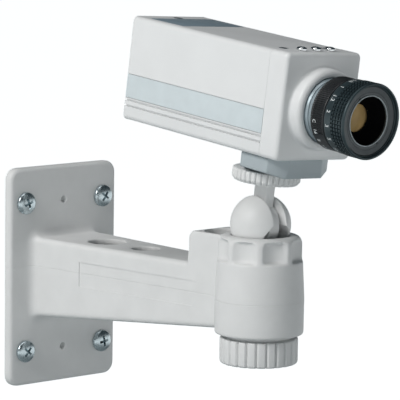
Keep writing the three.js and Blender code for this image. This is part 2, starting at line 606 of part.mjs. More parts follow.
// Bayonet video socket pointing backwards: a flange inside the panel, two lugs, a hollow mouth
// and its centre pin.
function videoSocket() {
  const v = VIDEO;
  const shell = turned([[0, -v.flangeEnd], [v.flangeR, -v.flangeEnd], [v.flangeR, -v.flangeX],
    [v.shellR, -v.flangeX], [v.shellR, v.mouthEnd - 0.4], [v.shellR - 0.5, v.mouthEnd],
    [v.mouthR, v.mouthEnd], [v.mouthR, 0], [v.pinR, 0], [v.pinR, v.pinEnd], [0, v.pinEnd]],
  16, 'x');
  const lug = rod(v.lugR, v.mouthR + 0.2, v.lugX, 'z', [v.lugX, 0, 0], 12);
  return join(shell, lug, lug.rotate([180, 0, 0])).rotate([0, 0, 180])
    .translate([REAR_PANEL.x0 - 0.5, v.y, v.z]);
}

function powerTerminal() {
  const p = POWER;
  const front = REAR_PANEL.x0 + p.front;
  const rear = front - p.length;
  const mouths = p.poles.map((y) =>
    box(rear - 1, rear + p.mouthDepth, y - p.mouthHalf, y + p.mouthHalf, p.mouthZ0, p.mouthZ1));
  const screws = p.poles.map((y) =>
    rod(p.screwR, p.screwZ, p.z1 + 2, 'z', [rear + p.mouthDepth, y, 0], 16));
  return cut(box(rear, front, p.y0, p.y1, p.z0, p.z1), ...mouths, ...screws);
}

function irisSocket() {
  const s = IRIS_SOCKET;
  const front = REAR_PANEL.x0 + s.front;
  const rear = front - s.length;
  const pins = [-1, 1].flatMap((sy) => [-1, 1].map((sz) =>
    rod(s.pinR, rear - 1, rear + s.pinDepth, 'x', [0, s.y + sy * s.pinY, s.z + sz * s.pinZ], 10)));
  return cut(box(rear, front, s.y - s.halfY, s.y + s.halfY, s.z - s.halfZ, s.z + s.halfZ),
    ...pins);
}

function boards() {
  const [m, p, link, n] = [BOARD, POWER_BOARD, BOARD_LINK, SENSOR];
  const pillars = PILLAR.at.map(([x, y], i) => mesh(`board_pillar_${i + 1}`,
    rod(PILLAR.r, BODY.wall + GAP, m.z - GAP, 'z', [x, y, 0], 16), MAT.brass));
  return [
    mesh('main_board', box(m.x0, m.x1, -m.half, m.half, m.z, m.z + m.thick), MAT.board),
    mesh('power_board', box(m.x0, p.x1, -p.half, p.half, p.z, p.z + m.thick), MAT.board),
    mesh('board_link', box(link.x0, link.x1, -link.half, link.half, m.z + m.thick + GAP,
      p.z - GAP), MAT.chip),
    mesh('sensor_board', box(n.boardX, n.boardX + m.thick, -n.boardHalfY, n.boardHalfY,
      LENS_Z - n.boardHalfZ, LENS_Z + n.boardHalfZ), MAT.board),
    mesh('image_sensor', box(n.chipX0, n.chipX1, -n.chipHalf, n.chipHalf, LENS_Z - n.chipHalf + 1,
      LENS_Z + n.chipHalf - 1), MAT.chip),
    mesh('infrared_filter', rod(n.filterR, n.filterX0, n.filterX1, 'x', [0, 0, LENS_Z], 24),
      MAT.filter),
    ...pillars,
  ];
}

function camera() {
  const group = new THREE.Group();
  group.position.set(CAMERA.x, 0, CAMERA.z);
  const top = BODY.height;
  const bezelScrews = ['near', 'middle', 'far'].map((side, i) => {
    const screw = mesh(`bezel_screw_${side}`, panScrew(2.9, 2, 1.2, 4.5), MAT.chrome);
    screw.position.set(BEZEL_SCREWS.x, (i - 1) * BEZEL_SCREWS.pitch, top + GAP);
    screw.rotation.z = [15, 50, -20][i] * DEG;
    return screw;
  });
  const coverScrews = COVER_SCREWS.map(([name, x, y]) => {
    const screw = mesh(name, flatScrew(2.5, 1.5, 1.15, 4.5), MAT.steel);
    screw.position.set(x, y, top);
    return screw;
  });
  const rearScrews = REAR_SCREWS.map(([name, y, z]) => {
    const screw = mesh(name, panScrew(2.6, 1.7, 1.15, 4), MAT.steel);
    screw.position.set(REAR_PANEL.x0 - GAP, y, z);
    screw.rotation.y = -90 * DEG;
    return screw;
  });
  const blockScrews = [-1, 1].map((s) => {
    const screw = mesh(s < 0 ? 'block_screw_near' : 'block_screw_far',
      panScrew(2.8, 1.9, 1.4, 11.5), MAT.steel);
    screw.position.set(MOUNT_SCREWS.x, s * MOUNT_SCREWS.y, MOUNT.bottomZ + 3 - GAP);
    screw.rotation.x = 180 * DEG;
    return screw;
  });
  const lamp = rod(LAMP.r, LAMP.x0, LAMP.x1, 'x', [REAR_PANEL.x0, LAMP.y, LAMP.z], 16);
  group.add(
    mesh('mount_block', mountBlock(), MAT.block),
    mesh('block_insert', tube(5, STUD.r + GAP, MOUNT.bottomZ + 0.2, -1.9, 24)
      .translate([STUD_X, 0, 0]), MAT.brass),
    ...blockScrews,
    mesh('housing_shell', housingShell(), MAT.housing),
    mesh('front_bezel', bezelSolid(), MAT.housing),
    mesh('rear_panel', rearPanel(), MAT.housing),
    mesh('stripe_near', stripe(-1), MAT.stripe),
    mesh('stripe_far', stripe(1), MAT.stripe),
    mesh('top_label', box(TOP_LABEL.x0, TOP_LABEL.x1, -TOP_LABEL.half, TOP_LABEL.half,
      top - INLAY.sink + GAP, top - INLAY.sink + GAP + INLAY.thick), MAT.label),
    ...bezelScrews, ...coverScrews, ...rearScrews,
    mesh('video_socket', videoSocket(), MAT.chrome),
    mesh('power_terminal', powerTerminal(), MAT.terminal),
    mesh('iris_socket', irisSocket(), MAT.chip),
    mesh('status_lamp', lamp, MAT.lamp),
    ...boards(), lens(),
  );
  return group;
}

// ---------------------------------------------------------------- lens

function lensMount() {
  const m = LENS_MOUNT;
  return turned([[m.boreR, m.threadX], [m.threadR, m.threadX], [m.threadR, m.seatX],
    [m.r, m.seatX], [m.r, m.shoulderX], [m.frontR, m.frontX], [m.boreR, m.frontX]], 30, 'x');
}

// Rear thread, flange, iris seat and the inner tube that guides the front cell.
function lensBody() {
  const b = LENS_BODY;
  return turned([[b.boreR, b.rearX], [b.rearR, b.rearX], [b.rearR, b.flangeX0],
    [b.flangeR, b.flangeX0], [b.flangeR, b.flangeX1], [b.seatR, b.flangeX1], [b.seatR, b.seatX],
    [b.guideR, b.seatX], [b.guideR, b.guideX], [b.boreR, b.guideX]], 24, 'x');
}

function irisRing() {
  const i = IRIS;
  return turned([[i.boreR, i.x0], [i.r - 0.5, i.x0], [i.r, i.x0 + 0.5], [i.r, i.x1 - 0.4],
    [i.r - 0.4, i.x1], [i.boreR, i.x1]], 32, 'x');
}

function focusRing() {
  const f = FOCUS;
  const inner = CELL.r + GAP;
  return turned([[inner, f.x0], [f.r - 0.4, f.x0], [f.r, f.x0 + 0.4], [f.r, f.x1 - 0.9],
    [f.r - 0.7, f.x1], [f.r - 1.3, f.x1], [f.r - 1.5, f.x1 - 1.6], [inner, f.x1 - f.lip]],
  32, 'x');
}

// Black funnel in front of the glass, with the seat that holds it.
function frontCell() {
  const [c, g] = [CELL, GLASS];
  return turned([[c.rearR, c.x0], [c.r, c.x0], [c.r, c.x1], [c.mouthR, c.x1],
    [c.mouthR - 0.8, c.stepX], [g.mouthR + 0.5, g.seatX1 + 0.7], [g.mouthR - 0.3, g.seatX1 + 0.3],
    [g.mouthR - 0.3, g.seatX1], [g.seatR, g.seatX1], [g.seatR, g.seatX0], [c.rearR, g.seatX0]],
  24, 'x');
}

function nameRing() {
  const n = NAME_RING;
  return turned([[CELL.mouthR, n.x0], [CELL.r, n.x0], [CELL.r, n.x1], [CELL.r - 0.5, n.x1],
    [CELL.mouthR, n.innerX1]], 24, 'x');
}

function frontGlass() {
  const g = GLASS;
  const front = Array.from({ length: g.steps + 1 }, (_, i) =>
    [g.r * i / g.steps, g.rimX + g.bulge * (1 - (i / g.steps) ** 2)]);
  return turned([...front, [g.r, g.backX], [0, g.backX]], 24, 'x');
}

function rearGlass() {
  const g = REAR_GLASS;
  return turned([[0, g.x0], [g.flatR, g.x0], [g.r, g.edgeX0], [g.r, g.edgeX1],
    [g.flatR, g.x1 - 0.3], [0, g.x1]], 24, 'x');
}

function lens() {
  const group = new THREE.Group();
  group.position.z = LENS_Z;
  const d = DIAPHRAGM;
  group.add(
    mesh('mount_ring', lensMount(), MAT.alloy),
    mesh('lens_body', lensBody(), MAT.alloy),
    mesh('iris_ring', irisRing(), MAT.black),
    mesh('focus_ring', focusRing(), MAT.rubber),
    mesh('front_cell', frontCell(), MAT.black),
    mesh('name_ring', nameRing(), MAT.nameRing),
    mesh('front_glass', frontGlass(), MAT.glass),
    mesh('rear_glass', rearGlass(), MAT.filter),
    mesh('iris_diaphragm', tube(d.r, d.holeR, d.x0, d.x1, 24, 'x'), MAT.steel),
  );
  return group;
}

// ---------------------------------------------------------------- assembly

const securityCamera = new THREE.Group();
securityCamera.add(wallBracket(), ...wallScrews(), bushing(), swivel());

export default securityCamera;
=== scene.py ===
"""Box security camera on a swivelling wall bracket: the visual model.

Pieces are drawn in millimetres in the frame of the assembly they belong to (wall, barrel, fork,
head, camera or lens), and a placement matrix carries them to their place in metres.
"""

import json
from math import asin, cos, degrees, pi, radians, sin, sqrt

import bmesh
import bpy
from mathutils import Matrix, Vector


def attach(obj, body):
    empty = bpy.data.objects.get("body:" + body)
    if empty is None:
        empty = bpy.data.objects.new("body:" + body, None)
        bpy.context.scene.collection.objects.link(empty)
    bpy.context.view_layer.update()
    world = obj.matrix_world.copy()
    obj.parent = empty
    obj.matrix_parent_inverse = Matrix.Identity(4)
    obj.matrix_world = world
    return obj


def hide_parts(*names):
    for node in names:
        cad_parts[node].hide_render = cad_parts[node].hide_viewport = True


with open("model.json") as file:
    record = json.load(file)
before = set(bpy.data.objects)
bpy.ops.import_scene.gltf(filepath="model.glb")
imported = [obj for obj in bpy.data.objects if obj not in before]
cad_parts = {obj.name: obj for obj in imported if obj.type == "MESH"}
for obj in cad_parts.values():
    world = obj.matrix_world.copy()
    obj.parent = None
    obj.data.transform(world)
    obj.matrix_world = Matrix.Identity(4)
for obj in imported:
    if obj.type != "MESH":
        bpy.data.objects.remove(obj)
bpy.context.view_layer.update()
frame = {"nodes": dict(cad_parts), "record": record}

MM = 0.001

# ---- places, from the frame's joints

JOINTS = {j["name"]: j for j in frame["record"]["behaviour"]["joints"]}


def axes_at(x, y, z, origin):
    """Placement with these axes and origin, from millimetres to metres."""
    turn = Matrix((x, y, z)).transposed().to_4x4()
    return Matrix.Translation(origin) @ turn @ Matrix.Scale(MM, 4)


def shifted(place, x=0.0, y=0.0, z=0.0):
    return place @ Matrix.Translation((x, y, z))


UP = Vector((0, 0, 1))
PIVOT = Vector(JOINTS["tilt"]["pos_m"])
PIN_AXIS = Vector(JOINTS["tilt"]["axis"]).normalized()
STEM_AXIS = Vector(JOINTS["camera_turn"]["axis"]).normalized()
LENS_AXIS = Vector(JOINTS["iris_turn"]["axis"]).normalized()

LENS_Z = 29.0
WALL_AT = Matrix.Scale(MM, 4)
BARREL_AT = Matrix.Translation((PIVOT.x, 0, 0)) @ WALL_AT
FORK_AT = axes_at(PIN_AXIS.cross(UP), PIN_AXIS, UP, PIVOT)
KNOB_AT = axes_at(PIN_AXIS.cross(UP), PIN_AXIS, UP, Vector((PIVOT.x, 0, 0)))
HEAD_AT = axes_at(LENS_AXIS, STEM_AXIS.cross(LENS_AXIS), STEM_AXIS, PIVOT)
LENS_AT = axes_at(LENS_AXIS, STEM_AXIS.cross(LENS_AXIS), STEM_AXIS,
                  Vector(JOINTS["iris_turn"]["pos_m"]))
CAMERA_AT = shifted(LENS_AT, z=-LENS_Z)
STUD_X = (CAMERA_AT.inverted() @ PIVOT).x

# ---- driving dimensions, mm

PLATE = dict(width=81.0, height=130.0, thick=6.0, corner=7.0, edge=2.0)
WALL_SCREW = dict(y=29.5, z=44.25, head=6.5, rise=3.5, shank=3.0, depth=5.4, hole=3.5)
PILOT = dict(z=44.25, r=1.85)
ARM = dict(root=6.0, end=162.0, root_half=23.5, end_half=12.3, top=23.5, root_bottom=-24.0,
           end_bottom=-11.3, edge=3.0, fillet=5.0, wall=3.5)
PORTS = ((46.0, 11.1), (80.0, 8.2))   # x and radius
CHAMBER_END = 128.0
PANEL = dict(x0=45.0, x1=136.0, z0=-1.3, z1=13.0, depth=0.5)
BLOCK = dict(x0=132.0, top=41.4, draft=1.4, chamfer=2.6, pocket_r=11.0, pocket_x=147.0,
             pocket_z=26.0)
BARREL = dict(rim_r=23.9, mid_r=25.0, foot_r=24.8, rim=28.9, mid=7.2, foot=-12.7, bore=8.0)
COLLAR = dict(r=23.3, top_r=19.3, shoulder=38.0, top=42.7, flutes=8, flute_half=7.0,
              flute_r=14.5, floor=19.9, flute_top=40.7, turn=24.0)
PARTING_Z = 6.5
FORK = dict(ball=17.0, slot=4.6, slot_floor=-13.0, waist=-6.5, plug_z=-20.2, plug_r=11.5,
            notch_r=9.2, notch_z=-7.6, notch_x=5.0)
PIN = dict(r=2.5, head_r=3.9, head_h=2.4, head_y=12.7)
KNOB = dict(r=21.9, top=-14.9, bottom=-29.3, hub_r=18.4, hub=-9.9, grooves=24, recess_r=14.0,
            recess=4.0, nut_r=5.5, bore=3.5)
TONGUE = dict(r=11.9, half=3.6, hole=2.9)
NECK = dict(half=5.4, top=23.7, edge=1.6)
RING = dict(r=19.1, foot_r=17.5, z0=24.0, z1=31.0, chamfer=1.8, ribs=36, bore=3.4)
BODY = dict(length=129.7, width=55.6, height=59.4, corner=3.2, wall=2.0)
BEZEL = dict(depth=13.7, front=2.5)
STRIPE = (12.9, 26.4)                 # bottom and top
GROOVES = (11.5, 8.3)                 # heights
TOP_LABEL = dict(x0=-120.2, x1=-92.6, half=22.8)
INLAY = dict(sink=0.7, gap=0.3)
MOUNT = dict(half=22.75, x0=-33.1, x1=-11.6, front_x=-4.8, front_half=11.8, rear_x=-46.0,
             rear_half=9.8, side_z=-8.4, front_z=-5.9, bottom_z=-11.2,
             foot=((-6.0, 13.6), (-42.0, 12.0)))
REAR_X = -128.9
BOSS = dict(r=22.4, length=8.0, edge=3.0, bore=18.3, flare=1.5)
MOUNT_SCREW = dict(x=-21.0, y=13.0, head=2.8, rise=1.9, shank=1.4, depth=11.0, sunk=3.0)
BEZEL_SCREW = dict(x=-8.0, pitch=10.5, head=2.9, rise=2.0, shank=1.2, depth=4.5, hole=1.5)
COVER_SCREW = dict(head=2.5, shank=1.15, depth=4.5)
COVER_SCREWS = {"cover_screw_near": (-17, -15.4), "cover_screw_far": (-17, 15.4),
                "cover_screw_rear": (-123.6, 0)}
REAR_SCREW = dict(head=2.6, rise=1.7, shank=1.15, depth=4, hole=1.45)
REAR_SCREWS = {"rear_screw_low_near": (-20.5, 8), "rear_screw_low_far": (20.5, 8),
               "rear_screw_high_near": (-20.5, 51.4), "rear_screw_high_far": (20.5, 51.4)}
VIDEO = (12, 40)                      # the centres on the rear panel, across and up
LAMP = (-12, 26)
POWER = dict(y0=-19.0, y1=-5.0, z0=36.0, z1=44.0, front=4.0, length=11.0, poles=(-15.5, -8.5))
IRIS_SOCKET = dict(y0=7.0, y1=17.0, z0=14.0, z1=22.0, front=3.0, length=5.0)
SOCKET_MARGIN = 0.4
LENS = dict(iris_r=20.2, iris0=14.5, iris1=24.6, focus_r=20.9, focus0=25.3, focus1=41.0,
            cell_r=18.5, bore=13.4, glass_r=8.0, glass=28.5)
IRIS_KNURL = dict(middle=radians(105), sector=radians(104.5), count=110, depth=0.42)
FOCUS_RIB = dict(count=60, rows=4, x0=30.6, x1=38.9, depth=0.7)

# ---- outlines and meshes, mm


def rounded(points, steps=4):
    """A closed outline whose corners (x, y, radius) become arcs; (x, y) stays sharp."""
    result = []
    count = len(points)
    for i, point in enumerate(points):
        here = Vector(point[:2])
        radius = point[2] if len(point) > 2 else 0
        if not radius:
            result.append(tuple(here))
            continue
        back = Vector(points[i - 1][:2]) - here
        ahead = Vector(points[(i + 1) % count][:2]) - here
        half = back.angle(ahead) / 2
        if half > radians(88):
            result.append(tuple(here))
            continue
        back.normalize()
        ahead.normalize()
        centre = here + (back + ahead).normalized() * (radius / sin(half))
        reach = radius / (sin(half) / cos(half))
        start = here + back * reach - centre
        sweep = start.angle_signed(here + ahead * reach - centre)
        for k in range(steps + 1):
            turn = -sweep * k / steps
            result.append((centre.x + start.x * cos(turn) - start.y * sin(turn),
                           centre.y + start.x * sin(turn) + start.y * cos(turn)))
    return result


def rectangle(x0, x1, y0, y1, radius):
    return rounded([(x1, y1, radius), (x0, y1, radius), (x0, y0, radius), (x1, y0, radius)], 5)


def linked(name, data):
    obj = bpy.data.objects.new(name, data)
    bpy.context.collection.objects.link(obj)
    return obj


def object_from(name, work):
    """Object with the faces of a bmesh, which is used up."""
    bmesh.ops.recalc_face_normals(work, faces=work.faces)
    mesh = bpy.data.meshes.new(name)
    work.to_mesh(mesh)
    work.free()
    return linked(name, mesh)


def new_object(name, verts, faces, place):
    raw = bpy.data.meshes.new(name)
    raw.from_pydata([place @ Vector(v) for v in verts], [], faces)
    work = bmesh.new()
    work.from_mesh(raw)
    bpy.data.meshes.remove(raw)
    bmesh.ops.remove_doubles(work, verts=work.verts, dist=1e-7)
    return object_from(name, work)


def to_axis(axis, radius, height, angle):
    """A point of a turned shape: radius and height along its axis, at an angle round it."""
    a, b = radius * cos(angle), radius * sin(angle)
    return {"x": (height, a, b), "y": (b, height, a), "z": (a, b, height)}[axis]


def turned(name, profile, place, axis="z", segments=96, shape=None):
    """Turns a closed profile of (radius, height) round an axis; shape(r, h, angle) may bend it."""
    count = len(profile)
    verts = []
    for i in range(segments):
        angle = 2 * pi * i / segments
        for r, h in profile:
            verts.append(to_axis(axis, shape(r, h, angle) if shape else r, h, angle))
    faces = []
    for i in range(segments):
        for k in range(count):
            a, b = i * count, (i + 1) % segments * count
            if profile[k][0] < 1e-6 and profile[(k + 1) % count][0] < 1e-6:
                continue
            faces.append((a + k, b + k, b + (k + 1) % count, a + (k + 1) % count))
    return new_object(name, verts, faces, place)


def lofted(name, sections, place, closed=True):
    """Skin over sections of equally many points, with a face on the first and on the last."""
    count = len(sections[0])
    faces = [tuple(range(count))]
    if closed:
        faces.append(tuple((len(sections) - 1) * count + i for i in range(count)))
    for s in range(len(sections) - 1):
        for i in range(count):
            a, b = s * count + i, s * count + (i + 1) % count
            faces.append((a, b, b + count, a + count))
    return new_object(name, [p for section in sections for p in section], faces, place)


def inset_outline(outline, amount):
    """The outline moved inwards, each point along the middle of its two edges."""
    if not amount:
        return list(outline)
    result = []
    count = len(outline)
    for i, point in enumerate(outline):
        before = (Vector(point) - Vector(outline[i - 1])).normalized()
        after = (Vector(outline[(i + 1) % count]) - Vector(point)).normalized()
        middle = (before + after).normalized()
        result.append((point[0] - middle.y * amount, point[1] + middle.x * amount))
    return result


def drawn(name, outline, x0, x1, place, edge=0.0):
    """An outline in the YZ plane drawn along X, its two end edges rounded by `edge`."""
    turns = [radians(a) for a in ((90, 60, 30, 0) if edge else (90,))]
    ends = [(x0 + edge * (1 - sin(t)), edge * (1 - cos(pi / 2 - t))) for t in turns]
    stations = ends + [(x0 + x1 - x, inset) for x, inset in ends[::-1]]
    sections = [[(x, y, z) for y, z in inset_outline(outline, inset)] for x, inset in stations]
    return lofted(name, sections, place)


def block_of(name, x0, x1, y0, y1, z0, z1, place, edge=0.0):
    verts = [(x, y, z) for x in (x0, x1) for y in (y0, y1) for z in (z0, z1)]
    faces = [(0, 1, 3, 2), (4, 6, 7, 5), (0, 4, 5, 1), (2, 3, 7, 6), (0, 2, 6, 4), (1, 5, 7, 3)]
    obj = new_object(name, verts, faces, place)
    return bevelled(obj, edge) if edge else obj


def hull_of(name, points, place):
    work = bmesh.new()
    for point in points:
        work.verts.new(place @ Vector(point))
    hull = bmesh.ops.convex_hull(work, input=work.verts)
    bmesh.ops.delete(work, geom=hull["geom_interior"] + hull["geom_unused"], context="VERTS")
    bmesh.ops.dissolve_limit(work, angle_limit=radians(1), verts=work.verts, edges=work.edges)
    return object_from(name, work)


def rod(name, r, h0, h1, place, axis="z", centre=(0, 0, 0), segments=64):
    return turned(name, [(0, h0), (r, h0), (r, h1), (0, h1)], shifted(place, *centre), axis,
                  segments)


def apply_all(obj):
    """Replaces the object's mesh with its result after its modifiers."""
    graph = bpy.context.evaluated_depsgraph_get()
    graph.update()
    old = obj.data
    obj.data = bpy.data.meshes.new_from_object(obj.evaluated_get(graph))
    obj.modifiers.clear()
    bpy.data.meshes.remove(old)
    return obj


def combined(obj, others, operation):
    """Boolean join or cut with each of the others, which are used up."""
    for other in others:
        step = obj.modifiers.new("boolean", "BOOLEAN")
        step.operation = operation
        step.solver = "EXACT"
        step.object = other
        apply_all(obj)
        bpy.data.objects.remove(other, do_unlink=True)
    return obj


def cut(obj, *tools):
    return combined(obj, tools, "DIFFERENCE")


def joined(obj, *others):
    return combined(obj, others, "UNION")


def bevelled(obj, width):
    bevel = obj.modifiers.new("bevel", "BEVEL")
    bevel.width = width * MM
    bevel.segments = 3
    bevel.limit_method = "ANGLE"
    bevel.angle_limit = radians(30)
    return apply_all(obj)


def moulded(obj, voxel, softening):
    """Even skin over a joined shape, its edges and corners softened as a moulding's are."""
    skin = obj.modifiers.new("skin", "REMESH")
    skin.mode = "VOXEL"
    skin.voxel_size = voxel * MM
    smooth = obj.modifiers.new("smooth", "SMOOTH")
    smooth.factor = 0.5
    smooth.iterations = softening
    apply_all(obj)


# ---- materials


class Surface:
    """A node material: a Principled shader whose colour, roughness and bump come from nodes."""

    def __init__(self, name, colour, roughness, metallic=0.0, **sockets):
        self.material = bpy.data.materials.new(name)
        self.material.use_nodes = True
        self.material.diffuse_color = (*colour, 1)
        self.nodes = self.material.node_tree.nodes
        self.links = self.material.node_tree.links
        self.shader = self.nodes["Principled BSDF"]
        self.shader.inputs["Base Color"].default_value = (*colour, 1)
        self.shader.inputs["Roughness"].default_value = roughness
        self.shader.inputs["Metallic"].default_value = metallic
        for socket, value in sockets.items():
            self.shader.inputs[socket.replace("_", " ")].default_value = value
        self.colour = colour
        self.roughness = roughness
        self.coords = self.nodes.new("ShaderNodeTexCoord").outputs["Object"]
        self.height = None

    def noise(self, scale_mm, detail=3.0):
        """Noise whose features are about scale_mm wide."""
        texture = self.nodes.new("ShaderNodeTexNoise")
        texture.inputs["Scale"].default_value = 1 / (scale_mm * MM)
        texture.inputs["Detail"].default_value = detail
        self.links.new(self.coords, texture.inputs["Vector"])
        return texture.outputs["Fac"]

    def vary_colour(self, scale_mm, amount):
        """Cloudy variation of the base colour, darker and lighter by a fraction of it."""
        ramp = self.nodes.new("ShaderNodeValToRGB")
        stops = ((0.3, 1 - amount), (0.7, 1 + amount))
        for element, (place, factor) in zip(ramp.color_ramp.elements, stops):
            element.position = place
            element.color = (*(min(1, c * factor) for c in self.colour), 1)
        self.links.new(self.noise(scale_mm), ramp.inputs["Fac"])
        self.links.new(ramp.outputs["Color"], self.shader.inputs["Base Color"])
        return self

    def vary_roughness(self, scale_mm, amount):
        spread = self.nodes.new("ShaderNodeMapRange")
        spread.inputs["To Min"].default_value = self.roughness - amount
        spread.inputs["To Max"].default_value = self.roughness + amount
        self.links.new(self.noise(scale_mm), spread.inputs["Value"])
        self.links.new(spread.outputs["Result"], self.shader.inputs["Roughness"])
        return self

    def bump(self, height, depth_mm):
        """Adds relief from a height between 0 and 1."""
        node = self.nodes.new("ShaderNodeBump")
        node.inputs["Strength"].default_value = 1.0
        node.inputs["Distance"].default_value = depth_mm * MM
        self.links.new(height, node.inputs["Height"])
        if self.height:
            self.links.new(self.height, node.inputs["Normal"])
        self.height = node.outputs["Normal"]
        self.links.new(self.height, self.shader.inputs["Normal"])
        return self

    def grain(self, scale_mm, depth_mm):
        return self.bump(self.noise(scale_mm, detail=4.0), depth_mm)


def moulded_plastic(name, colour, roughness=0.5):
    surface = Surface(name, colour, roughness, IOR=1.5)
    return surface.vary_colour(14, 0.025).vary_roughness(3, 0.07).grain(0.55, 0.045)


def bracket_plastic(name, colour):
    """Moulded plastic with a fine parting line round it at one height."""
    surface = moulded_plastic(name, colour)
    split = surface.nodes.new("ShaderNodeSeparateXYZ")
    surface.links.new(surface.coords, split.inputs["Vector"])
    offset = surface.nodes.new("ShaderNodeMath")
    offset.operation = "SUBTRACT"
    offset.inputs[1].default_value = PARTING_Z * MM
    surface.links.new(split.outputs["Z"], offset.inputs[0])
    away = surface.nodes.new("ShaderNodeMath")
    away.operation = "ABSOLUTE"
    surface.links.new(offset.outputs["Value"], away.inputs[0])
    line = surface.nodes.new("ShaderNodeMapRange")
    line.inputs["From Max"].default_value = 0.35 * MM
    surface.links.new(away.outputs["Value"], line.inputs["Value"])
    return surface.bump(line.outputs["Result"], 0.12)


def powder_coat(name, colour):
    surface = Surface(name, colour, 0.42, IOR=1.5)
    return surface.vary_colour(20, 0.015).vary_roughness(2, 0.05).grain(0.9, 0.035)


def satin_film(name, colour, roughness=0.35):
    return Surface(name, colour, roughness).vary_colour(9, 0.03).vary_roughness(1.5, 0.06)\
        .grain(0.4, 0.01)


def metal(name, colour, roughness, metallic=1.0):
    surface = Surface(name, colour, roughness, metallic)
    return surface.vary_colour(3, 0.05).vary_roughness(0.8, 0.08).grain(0.3, 0.006)


def anodised(name, colour, roughness=0.36):
    surface = Surface(name, colour, roughness, 0.25, Specular_IOR_Level=0.6)
    return surface.vary_colour(5, 0.12).vary_roughness(1.2, 0.08).grain(0.25, 0.008)


def grip_rubber(name, colour):
    surface = Surface(name, colour, 0.4, Specular_IOR_Level=0.75,
                      Specular_Tint=(0.75, 0.95, 1, 1))
    return surface.vary_colour(4, 0.15).vary_roughness(0.9, 0.1).grain(0.3, 0.02)


def coated_glass(name, colour):
    """Lens glass seen as its coating: a dark amber body under a hard clear surface."""
    surface = Surface(name, colour, 0.12, Specular_IOR_Level=0.12)
    return surface.vary_colour(9, 0.12).grain(6, 0.002)


def clear_glass(name, colour):
    surface = Surface(name, colour, 0.05, Transmission_Weight=0.9, IOR=1.5)
    return surface.vary_colour(8, 0.04)


def circuit_board(name, colour):
    surface = Surface(name, colour, 0.35)
    surface.vary_colour(6, 0.1).vary_roughness(1, 0.08)
    tracks = surface.nodes.new("ShaderNodeTexBrick")
    tracks.inputs["Scale"].default_value = 1 / (6 * MM)
    tracks.inputs["Mortar Size"].default_value = 0.06
    surface.links.new(surface.coords, tracks.inputs["Vector"])
    return surface.bump(tracks.outputs["Fac"], 0.03)


LOOKS = {
    "bracket_plastic": (bracket_plastic, (0.745, 0.752, 0.75)),
    "housing_paint": (powder_coat, (0.77, 0.782, 0.785)),
    "stripe_film": (satin_film, (0.63, 0.70, 0.725)),
    "label_film": (satin_film, (0.235, 0.31, 0.365)),
    "block_plastic": (moulded_plastic, (0.40, 0.455, 0.48)),
    "zinc": (metal, (0.55, 0.63, 0.66), 0.28),
    "chrome_plate": (metal, (0.82, 0.84, 0.85), 0.14),
    "steel": (metal, (0.50, 0.53, 0.55), 0.32),
    "brass": (metal, (0.66, 0.50, 0.24), 0.3),
    "alloy": (metal, (0.37, 0.44, 0.475), 0.42, 0.45),
    "lens_black": (anodised, (0.012, 0.014, 0.016)),
    "lens_grip": (grip_rubber, (0.014, 0.023, 0.027)),
    "name_ring_grey": (anodised, (0.062, 0.074, 0.080), 0.42),
    "coated_glass": (coated_glass, (0.52, 0.35, 0.15)),
    "clear_glass": (clear_glass, (0.75, 0.85, 0.87)),
    "circuit_board": (circuit_board, (0.02, 0.16, 0.07)),
    "chip_black": (satin_film, (0.02, 0.022, 0.025), 0.45),
    "nylon": (moulded_plastic, (0.80, 0.78, 0.72)),
    "terminal_green": (moulded_plastic, (0.03, 0.24, 0.10), 0.4),
    "lamp_red": (satin_film, (0.55, 0.03, 0.02), 0.15),
}
SURFACES = {slot: look[0](slot, *look[1:]) for slot, look in LOOKS.items()}
INK = satin_film("scale_ink", (0.80, 0.84, 0.85), 0.5).material
FLAT_BLACK = Surface("flat_black", (0.002, 0.002, 0.0025), 0.8, Specular_IOR_Level=0.04)\
    .vary_colour(5, 0.2).grain(0.25, 0.01).material
# The mouth's rim is painted a lighter grey: partly a polished edge, partly a painted highlight
# standing in for light glinting on the rim.
POLISHED_RIM_AND_HIGHLIGHT = satin_film("bright_edge", (0.42, 0.47, 0.49), 0.3).material
PLAIN_PLASTIC = moulded_plastic("plain_bracket_plastic", (0.745, 0.752, 0.75)).material

SLOT_OF = {part["node"]: part["material_slot"] for part in frame["record"]["subparts"]}


def finished(obj, body, slot=None, angle=32, material=None):
    """Gives a piece its shading and material, makes it ride its body and stand for its node.

    NAME_piece stands for the node NAME and takes its slot; other pieces state their slot.
    """
    node = obj.name.removesuffix("_piece")
    slot = slot or SLOT_OF[node]
    obj.data.materials.clear()
    obj.data.materials.append(material or SURFACES[slot].material)
    for polygon in obj.data.polygons:
        polygon.use_smooth = True
        polygon.material_index = 0
    obj.data.set_sharp_from_angle(angle=radians(angle))
    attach(obj, body)
    if node in frame["nodes"]:
        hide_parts(node)


def dress_cad_nodes():
    """Every node that stays from the frame gets the procedural material of its slot."""
    for name, obj in frame["nodes"].items():
        material = SURFACES[SLOT_OF[name]].material
        if not obj.data.materials:
            obj.data.materials.append(material)
        for entry in obj.material_slots:
            entry.material = material


# ---- screws


def pan_screw(name, place, size, body, turn):
    """Domed head on z = 0 with a cross recess whose arms taper inwards, shank below."""
    head, rise, shank, depth = (size[k] for k in ("head", "rise", "shank", "depth"))
    spin = place @ Matrix.Rotation(radians(turn), 4, "Z")
    dome = [(head * sin(radians(a)), rise * (0.38 + 0.62 * cos(radians(a)))) for a in
            (86, 74, 62, 50, 38, 26, 14)]
    profile = [(0, -depth), (shank, -depth), (shank, 0), (head * 0.96, 0), (head, rise * 0.08),
               (head, rise * 0.36)] + dome + [(0, rise)]
    screw = turned(name, profile, spin, segments=48)
    arm, half, floor = head * 0.6, head * 0.125, rise * 0.3
    cross = []
    for along_x in (True, False):
        low, high = (arm * 0.45, half * 0.7), (arm, half)
        corners = [((x if along_x else y), (y if along_x else x), z)
                   for (ax, ay), z in ((low, floor), (high, rise + 0.6))
                   for x in (-ax, ax) for y in (-ay, ay)]
        cross.append(hull_of("arm", corners, spin))
    finished(cut(screw, *cross), body)


